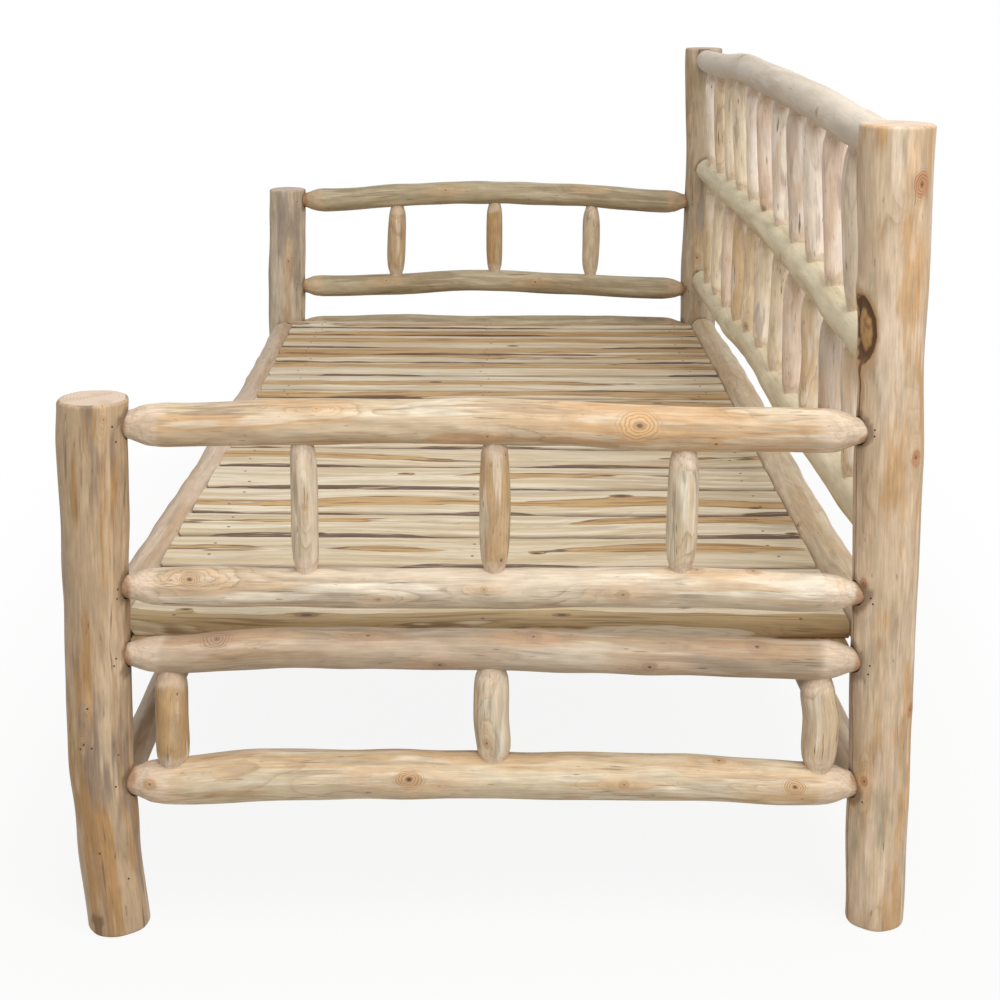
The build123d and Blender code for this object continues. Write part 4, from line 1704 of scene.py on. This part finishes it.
@dataclass
class Slat:
    """One seat slat: a plank with a soft crown and the round of the log on its edges."""

    name: str
    knots: tuple[Knot, ...] = ()
    pitch: float = 0.009
    crown: float = 0.0018            # fall of the top from the middle to the edges
    round_near: float = 0.0075       # rounding of the edge on the +X side
    round_far: float = 0.0055        # and on the other
    wobble: float = 0.0016           # extra wander of the edges
    skin: float = 1.0                # how much of the log's skin, with the painted gap shade, shows on the edges
    tone: Tone = Tone.SLAT
    pith: tuple[float, float] | None = None      # where its log's pith lay: metres off the middle, and deep

    FOOT = 0.002                     # chamfer along the lower edges
    PITH_DRIFT = 0.012               # how far the pith wanders along the slat
    SHARP = 40.0                     # degrees from which an edge is sharp

    def __post_init__(self) -> None:
        """Read the plank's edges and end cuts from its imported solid."""
        points = corners_of(self.name)
        self.top, self.bottom = points[:, 2].max(), points[:, 2].min()
        shoulder = np.unique(points[:, 2].round(4))[-2]
        edge = np.unique(points[np.abs(points[:, 2] - shoulder) < 2e-4].round(5), axis=0)
        middle = edge[:, 0].mean()
        self.edges = []
        for part in (edge[edge[:, 0] < middle], edge[edge[:, 0] > middle]):
            part = part[np.argsort(part[:, 1])]
            part = part[np.r_[True, np.diff(part[:, 1]) > 1e-3]]
            self.edges.append(Curve(part[:, 1], part[:, 0]))
        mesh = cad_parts[self.name].data
        self.cuts = []
        for way in (-1, 1):
            spots = np.array([mesh.vertices[v].co for face in mesh.polygons if face.normal.y * way > 0.5
                              for v in face.vertices])
            flat = np.c_[np.ones(len(spots)), spots[:, 0], spots[:, 2]]
            self.cuts.append(np.linalg.lstsq(flat, spots[:, 1], rcond=None)[0])
        rng = seeded(self.name)
        self.shift = rng.uniform(0, 40)
        self.waves = [Wander(rng, 6, (0, 0), (0.08, 0.6)) for _ in range(2)]
        self.surface = Wander(rng, 6, (0, 2), (0.1, 0.5))
        own = (rng.uniform(-0.022, 0.022), rng.uniform(0.009, 0.026))
        self.pith_x, self.pith_deep = self.pith or own
        self.pith_wave = Wander(rng, 3, (0, 0), (0.4, 1.4))

    def height(self, x: Array, y: Array) -> Array:
        """Height of the slat's top at points inside its rounded edges.

        Args:
            x: places across the slat.
            y: places along it.

        Returns:
            The heights.
        """
        low, high = self.edges[0](y), self.edges[1](y)
        share = (2 * x - low - high) / (high - low)
        return self.top - self.crown * share ** 2 - 0.0005 * (1 + self.surface(y, share * 2)) / 2

    def _outline(self, y: Array) -> tuple[Array, Array, Array]:
        """Cross-sections of the plank.

        Args:
            y: station of each section.

        Returns:
            X, Z and how much of the log's skin and painted gap shade shows, each by station and point.
        """
        low = self.edges[0](y) + self.wobble * self.waves[0](y, 0.0)
        high = self.edges[1](y) + self.wobble * self.waves[1](y, 0.0)
        turn = np.linspace(0, np.pi / 2, 6)
        under, foot = np.full_like(y, self.bottom), np.full_like(y, self.bottom + self.FOOT)
        # the skin shares carry the painted gap shade down the sides and under the edges too
        x, z, skin = [low + self.FOOT, low], [under, foot], [0.6, 1.0]
        for t in turn:
            x.append(low + self.round_far * (1 - np.cos(t)))
            z.append(self.height(x[-1], y) - self.round_far * (1 - np.sin(t)))
            skin.append(float(1 - t / (np.pi / 2)) ** 0.7)
        for share in np.linspace(0, 1, 17)[1:-1]:
            x.append(low + self.round_far + share * (high - low - self.round_far - self.round_near))
            z.append(self.height(x[-1], y))
            skin.append(0.0)
        for t in turn[::-1]:
            x.append(high - self.round_near * (1 - np.cos(t)))
            z.append(self.height(x[-1], y) - self.round_near * (1 - np.sin(t)))
            skin.append(float(1 - t / (np.pi / 2)) ** 0.7)
        x += [high, high - self.FOOT, *(low + share * (high - low) for share in (0.75, 0.5, 0.25))]
        z += [foot, under, under, under, under]
        skin += [1.0, 0.6, 0.0, 0.0, 0.0]
        return np.stack(x, 1), np.stack(z, 1), np.tile(skin, (len(y), 1))

    def build(self) -> None:
        """Build the slat and put it in its node's place."""
        edge = self.edges[0]
        share = np.linspace(0, 1, int((edge.at[-1] - edge.at[0]) / self.pitch))
        first, last = (a + b * edge.value.mean() + c * self.top for a, b, c in self.cuts)
        x, z, skin = self._outline(first + share * (last - first))
        first, last = (a + b * x + c * z for a, b, c in self.cuts)
        points = np.stack([x, first + share[:, None] * (last - first), z], -1)
        body = bmesh.new()
        rows = [[body.verts.new(p) for p in row] for row in points]
        for face in sum(wrap(body, rows), []):
            face.smooth = True
        for row in (rows[0], rows[-1]):
            body.faces.new(row).material_index = 1
        bmesh.ops.recalc_face_normals(body, faces=body.faces)
        mesh = settle(body, f"{self.name}_plank")
        store(mesh, **self._wood_at(points.reshape(-1, 3), skin.ravel()))
        mesh.set_sharp_from_angle(angle=math.radians(self.SHARP))
        hang(f"{self.name}_plank", mesh, (self.tone, Tone.END_GRAIN), "slat_wood", self.name)

    def _wood_at(self, flat: Array, skin: Array) -> dict[str, Array]:
        """Each point's place in the log, its nearest knot, and the log's skin with the painted gap shade.

        Args:
            flat: the points of the slat's mesh.
            skin: how much of the log's skin and painted gap shade shows at each.

        Returns:
            What the materials read, by name.
        """
        low, high = self.edges[0](flat[:, 1]), self.edges[1](flat[:, 1])
        middle = (low + high) / 2
        drift = self.PITH_DRIFT * self.pith_wave(flat[:, 1], 0.0)
        grain = np.c_[flat[:, 1] + self.shift, flat[:, 0] - middle - self.pith_x - drift,
                      flat[:, 2] - self.top + self.pith_deep + 0.5 * drift]
        knot = nearest_knot(self.knots, lambda one: (flat[:, 1] - one.along * MM,
                                                     flat[:, 0] - one.bearing * MM), len(flat))
        rim = np.maximum(np.minimum(flat[:, 0] - low, high - flat[:, 0]), 0.0) + 0.02 * (1 - self.skin)
        tint = np.c_[skin * self.skin, rim, np.full(len(flat), self.shift % 1.0)]
        return {"grain": grain, "knot": knot, "tint": tint}


# On the slats a knot's along is Y and its bearing is X, both in millimetres.
SLAT_KNOTS = {
    3: (Knot(36, -700, 6),),
    6: (Knot(250, -520, 4),),
    7: (Knot(-122, -354, 6),),
    9: (Knot(310, -190, 5), Knot(-290, -150, 4)),
    11: (Knot(150, 30, 5),),
    13: (Knot(-150, 290, 4),),
    14: (Knot(200, 411, 9), Knot(406, 470, 5)),
    15: (Knot(-260, 600, 4), Knot(443, 593, 5)),
    16: (Knot(60, 690, 4),),
    18: (Knot(-244, 936, 8), Knot(88, 932, 6), Knot(-404, 918, 4), Knot(250, 905, 4)),
}


@dataclass
class Seat:
    """The slats, the nails in them and the bearers beneath."""

    slats: int = 18
    nail_head: float = 0.0026        # radius
    nail_rows: tuple[float, ...] = (-0.408, -0.022, 0.408)

    BEARERS = ("seat_bearer_front", "seat_bearer_middle", "seat_bearer_back")

    def build(self) -> None:
        """Build the slats and nails, and dress the bearers."""
        nails = bmesh.new()
        rng = seeded("nails")
        for number in range(1, self.slats + 1):
            nearest = number == self.slats
            # the nearest slat's edge gets little of the skin colour and its painted gap shade
            slat = Slat(f"seat_slat_{number:02d}", SLAT_KNOTS.get(number, ()),
                        round_near=0.015 if nearest else 0.0075,
                        skin=0.2 if nearest else 1.0, tone=Tone.EDGE_SLAT if nearest else Tone.SLAT,
                        pith=(0.024, 0.011) if nearest else None)
            slat.build()
            for row in self.nail_rows:
                for share in (0.27, 0.73):
                    y = row + rng.uniform(-0.012, 0.012)
                    low, high = (float(edge(np.array([y]))[0]) for edge in slat.edges)
                    x = low + (share + rng.uniform(-0.06, 0.06)) * (high - low)
                    z = float(slat.height(np.array([x]), np.array([y]))[0])
                    lean = Vector((*rng.uniform(-0.1, 0.1, 2), 1.0)).normalized()
                    drive(nails, Vector((x, y, z)), lean, self.nail_head)
        hang("seat_nails", settle(nails, "seat_nails"), (Tone.NAIL,), "slat_wood")
        for name in self.BEARERS:
            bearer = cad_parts[name]
            bearer.data.materials.clear()
            bearer.data.materials.append(Tone.BEARER.material())


# ---- studio ---------------------------------------------------------------------------------


@dataclass
class Studio:
    """Camera, floor and soft light."""

    eye: Triple = (3.023, 0.0034, 1.215)
    pitch: float = 17.49             # degrees down
    yaw: float = -0.09
    roll: float = 0.28
    focal: float = 1.719             # focal length as a share of the picture's width
    sensor: float = 36.0
    world: float = 0.5
    key: float = 150.0               # watts
    lamp: Triple = (2.5, 0.8, 3.4)
    lamp_size: float = 3.4
    lit: Triple = (0.0, 0.0, 0.3)    # where the lamp points
    reach: float = 30.0              # of the floor, each way
    floor: str = "#C9C5BF"           # pale floor as it lights the bench from below

    def camera(self) -> None:
        """Set the camera before the right end, a little above the arm."""
        data = bpy.data.cameras.new("camera")
        data.sensor_width = self.sensor
        data.lens = self.focal * self.sensor
        data.clip_end = 100.0
        camera = put("camera", data)
        turn = Matrix.Rotation(math.radians(self.yaw), 3, "Z")
        ahead, right, up = turn @ Vector((-1, 0, 0)), turn @ Vector((0, 1, 0)), Vector((0, 0, 1))
        c, s = math.cos(math.radians(self.pitch)), math.sin(math.radians(self.pitch))
        ahead, up = c * ahead - s * up, s * ahead + c * up
        c, s = math.cos(math.radians(self.roll)), math.sin(math.radians(self.roll))
        right, up = c * right + s * up, c * up - s * right
        camera.matrix_world = Matrix.Translation(self.eye) @ Matrix((right, up, -ahead)).transposed().to_4x4()
        bpy.context.scene.camera = camera

    def light(self) -> None:
        """Hang one broad lamp over the bench in a pale room."""
        world = bpy.data.worlds.new("pale room")
        bpy.context.scene.world = world
        world.use_nodes = True
        world.node_tree.nodes.clear()
        add = partial(add_node, world.node_tree)
        path = add("LightPath")
        dim = add("Background", {"Color": WHITE, "Strength": self.world})
        seen = add("Background", {"Color": WHITE})
        direct = add("Math", {0: path.outputs["Is Camera Ray"], 1: path.outputs["Is Glossy Ray"]},
                     operation="MAXIMUM")
        add("OutputWorld", {"Surface": add("MixShader", {0: direct, 1: dim, 2: seen})})
        data = bpy.data.lights.new("broad lamp", "AREA")
        data.shape = "RECTANGLE"
        data.size = data.size_y = self.lamp_size
        data.energy = self.key
        lamp = put("broad lamp", data)
        lamp.location = self.lamp
        lamp.rotation_euler = (Vector(self.lit) - lamp.location).to_track_quat("-Z", "Y").to_euler()
        bpy.context.scene.view_settings.view_transform = "Standard"

    def ground(self) -> None:
        """Lay a pale floor that takes the bench's shadow and is white far off."""
        mesh = bpy.data.meshes.new("floor")
        corners = [(x * self.reach, y * self.reach, 0) for x, y in ((-1, -1), (1, -1), (1, 1), (-1, 1))]
        mesh.from_pydata(corners, [], [(0, 1, 2, 3)])
        paint = Coats("matt white floor paint")
        add = paint.add
        place = add("TexCoord").outputs["Object"]
        grain = add("TexNoise", {"Vector": place, "Scale": 40.0, "Detail": 2.0})
        bump = add("Bump", {"Height": grain, "Strength": 0.02, "Distance": 0.002})
        matt = add("BsdfDiffuse", {"Color": linear(self.floor), "Normal": bump})
        white = add("Emission", {"Color": WHITE})
        out = add("VectorMath", {0: place}, operation="ABSOLUTE")
        beyond = add("VectorMath", {0: out, 1: (1.0, 0.5, 0.0)}, operation="SUBTRACT")
        beyond = add("VectorMath", {0: beyond, 1: (0.0, 0.0, 0.0)}, operation="MAXIMUM")
        far = add("VectorMath", {0: beyond}, operation="LENGTH")
        fade = add("MapRange", {"Value": far, "From Max": 0.7, "To Min": 0.9},
                   interpolation_type="SMOOTHSTEP")
        path = add("LightPath")
        seen = add("Math", {0: path.outputs["Is Camera Ray"], 1: path.outputs["Is Glossy Ray"]},
                   operation="MAXIMUM")
        share = add("Math", {0: fade, 1: seen}, operation="MULTIPLY")
        add("OutputMaterial", {"Surface": add("MixShader", {0: share, 1: matt, 2: white})})
        mesh.materials.append(paint.material)
        floor = put("floor", mesh)

    def build(self) -> None:
        """Set up the camera, the lights and the floor."""
        self.camera()
        self.light()
        self.ground()


def main() -> None:
    """Build the bench and its studio."""
    logging.basicConfig(level=logging.INFO, format="%(name)s %(message)s")
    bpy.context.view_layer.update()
    Studio().build()
    ends = [EndFrame(side) for side in Side]
    long_rails = LongRails()
    rails = [rail for end in ends for rail in end.rails()] + long_rails.rails()
    Posts().build(rails)
    for end in ends:
        end.build()
    long_rails.build()
    SpindleBack().build()
    Seat().build()


if __name__ == "__main__":
    main()
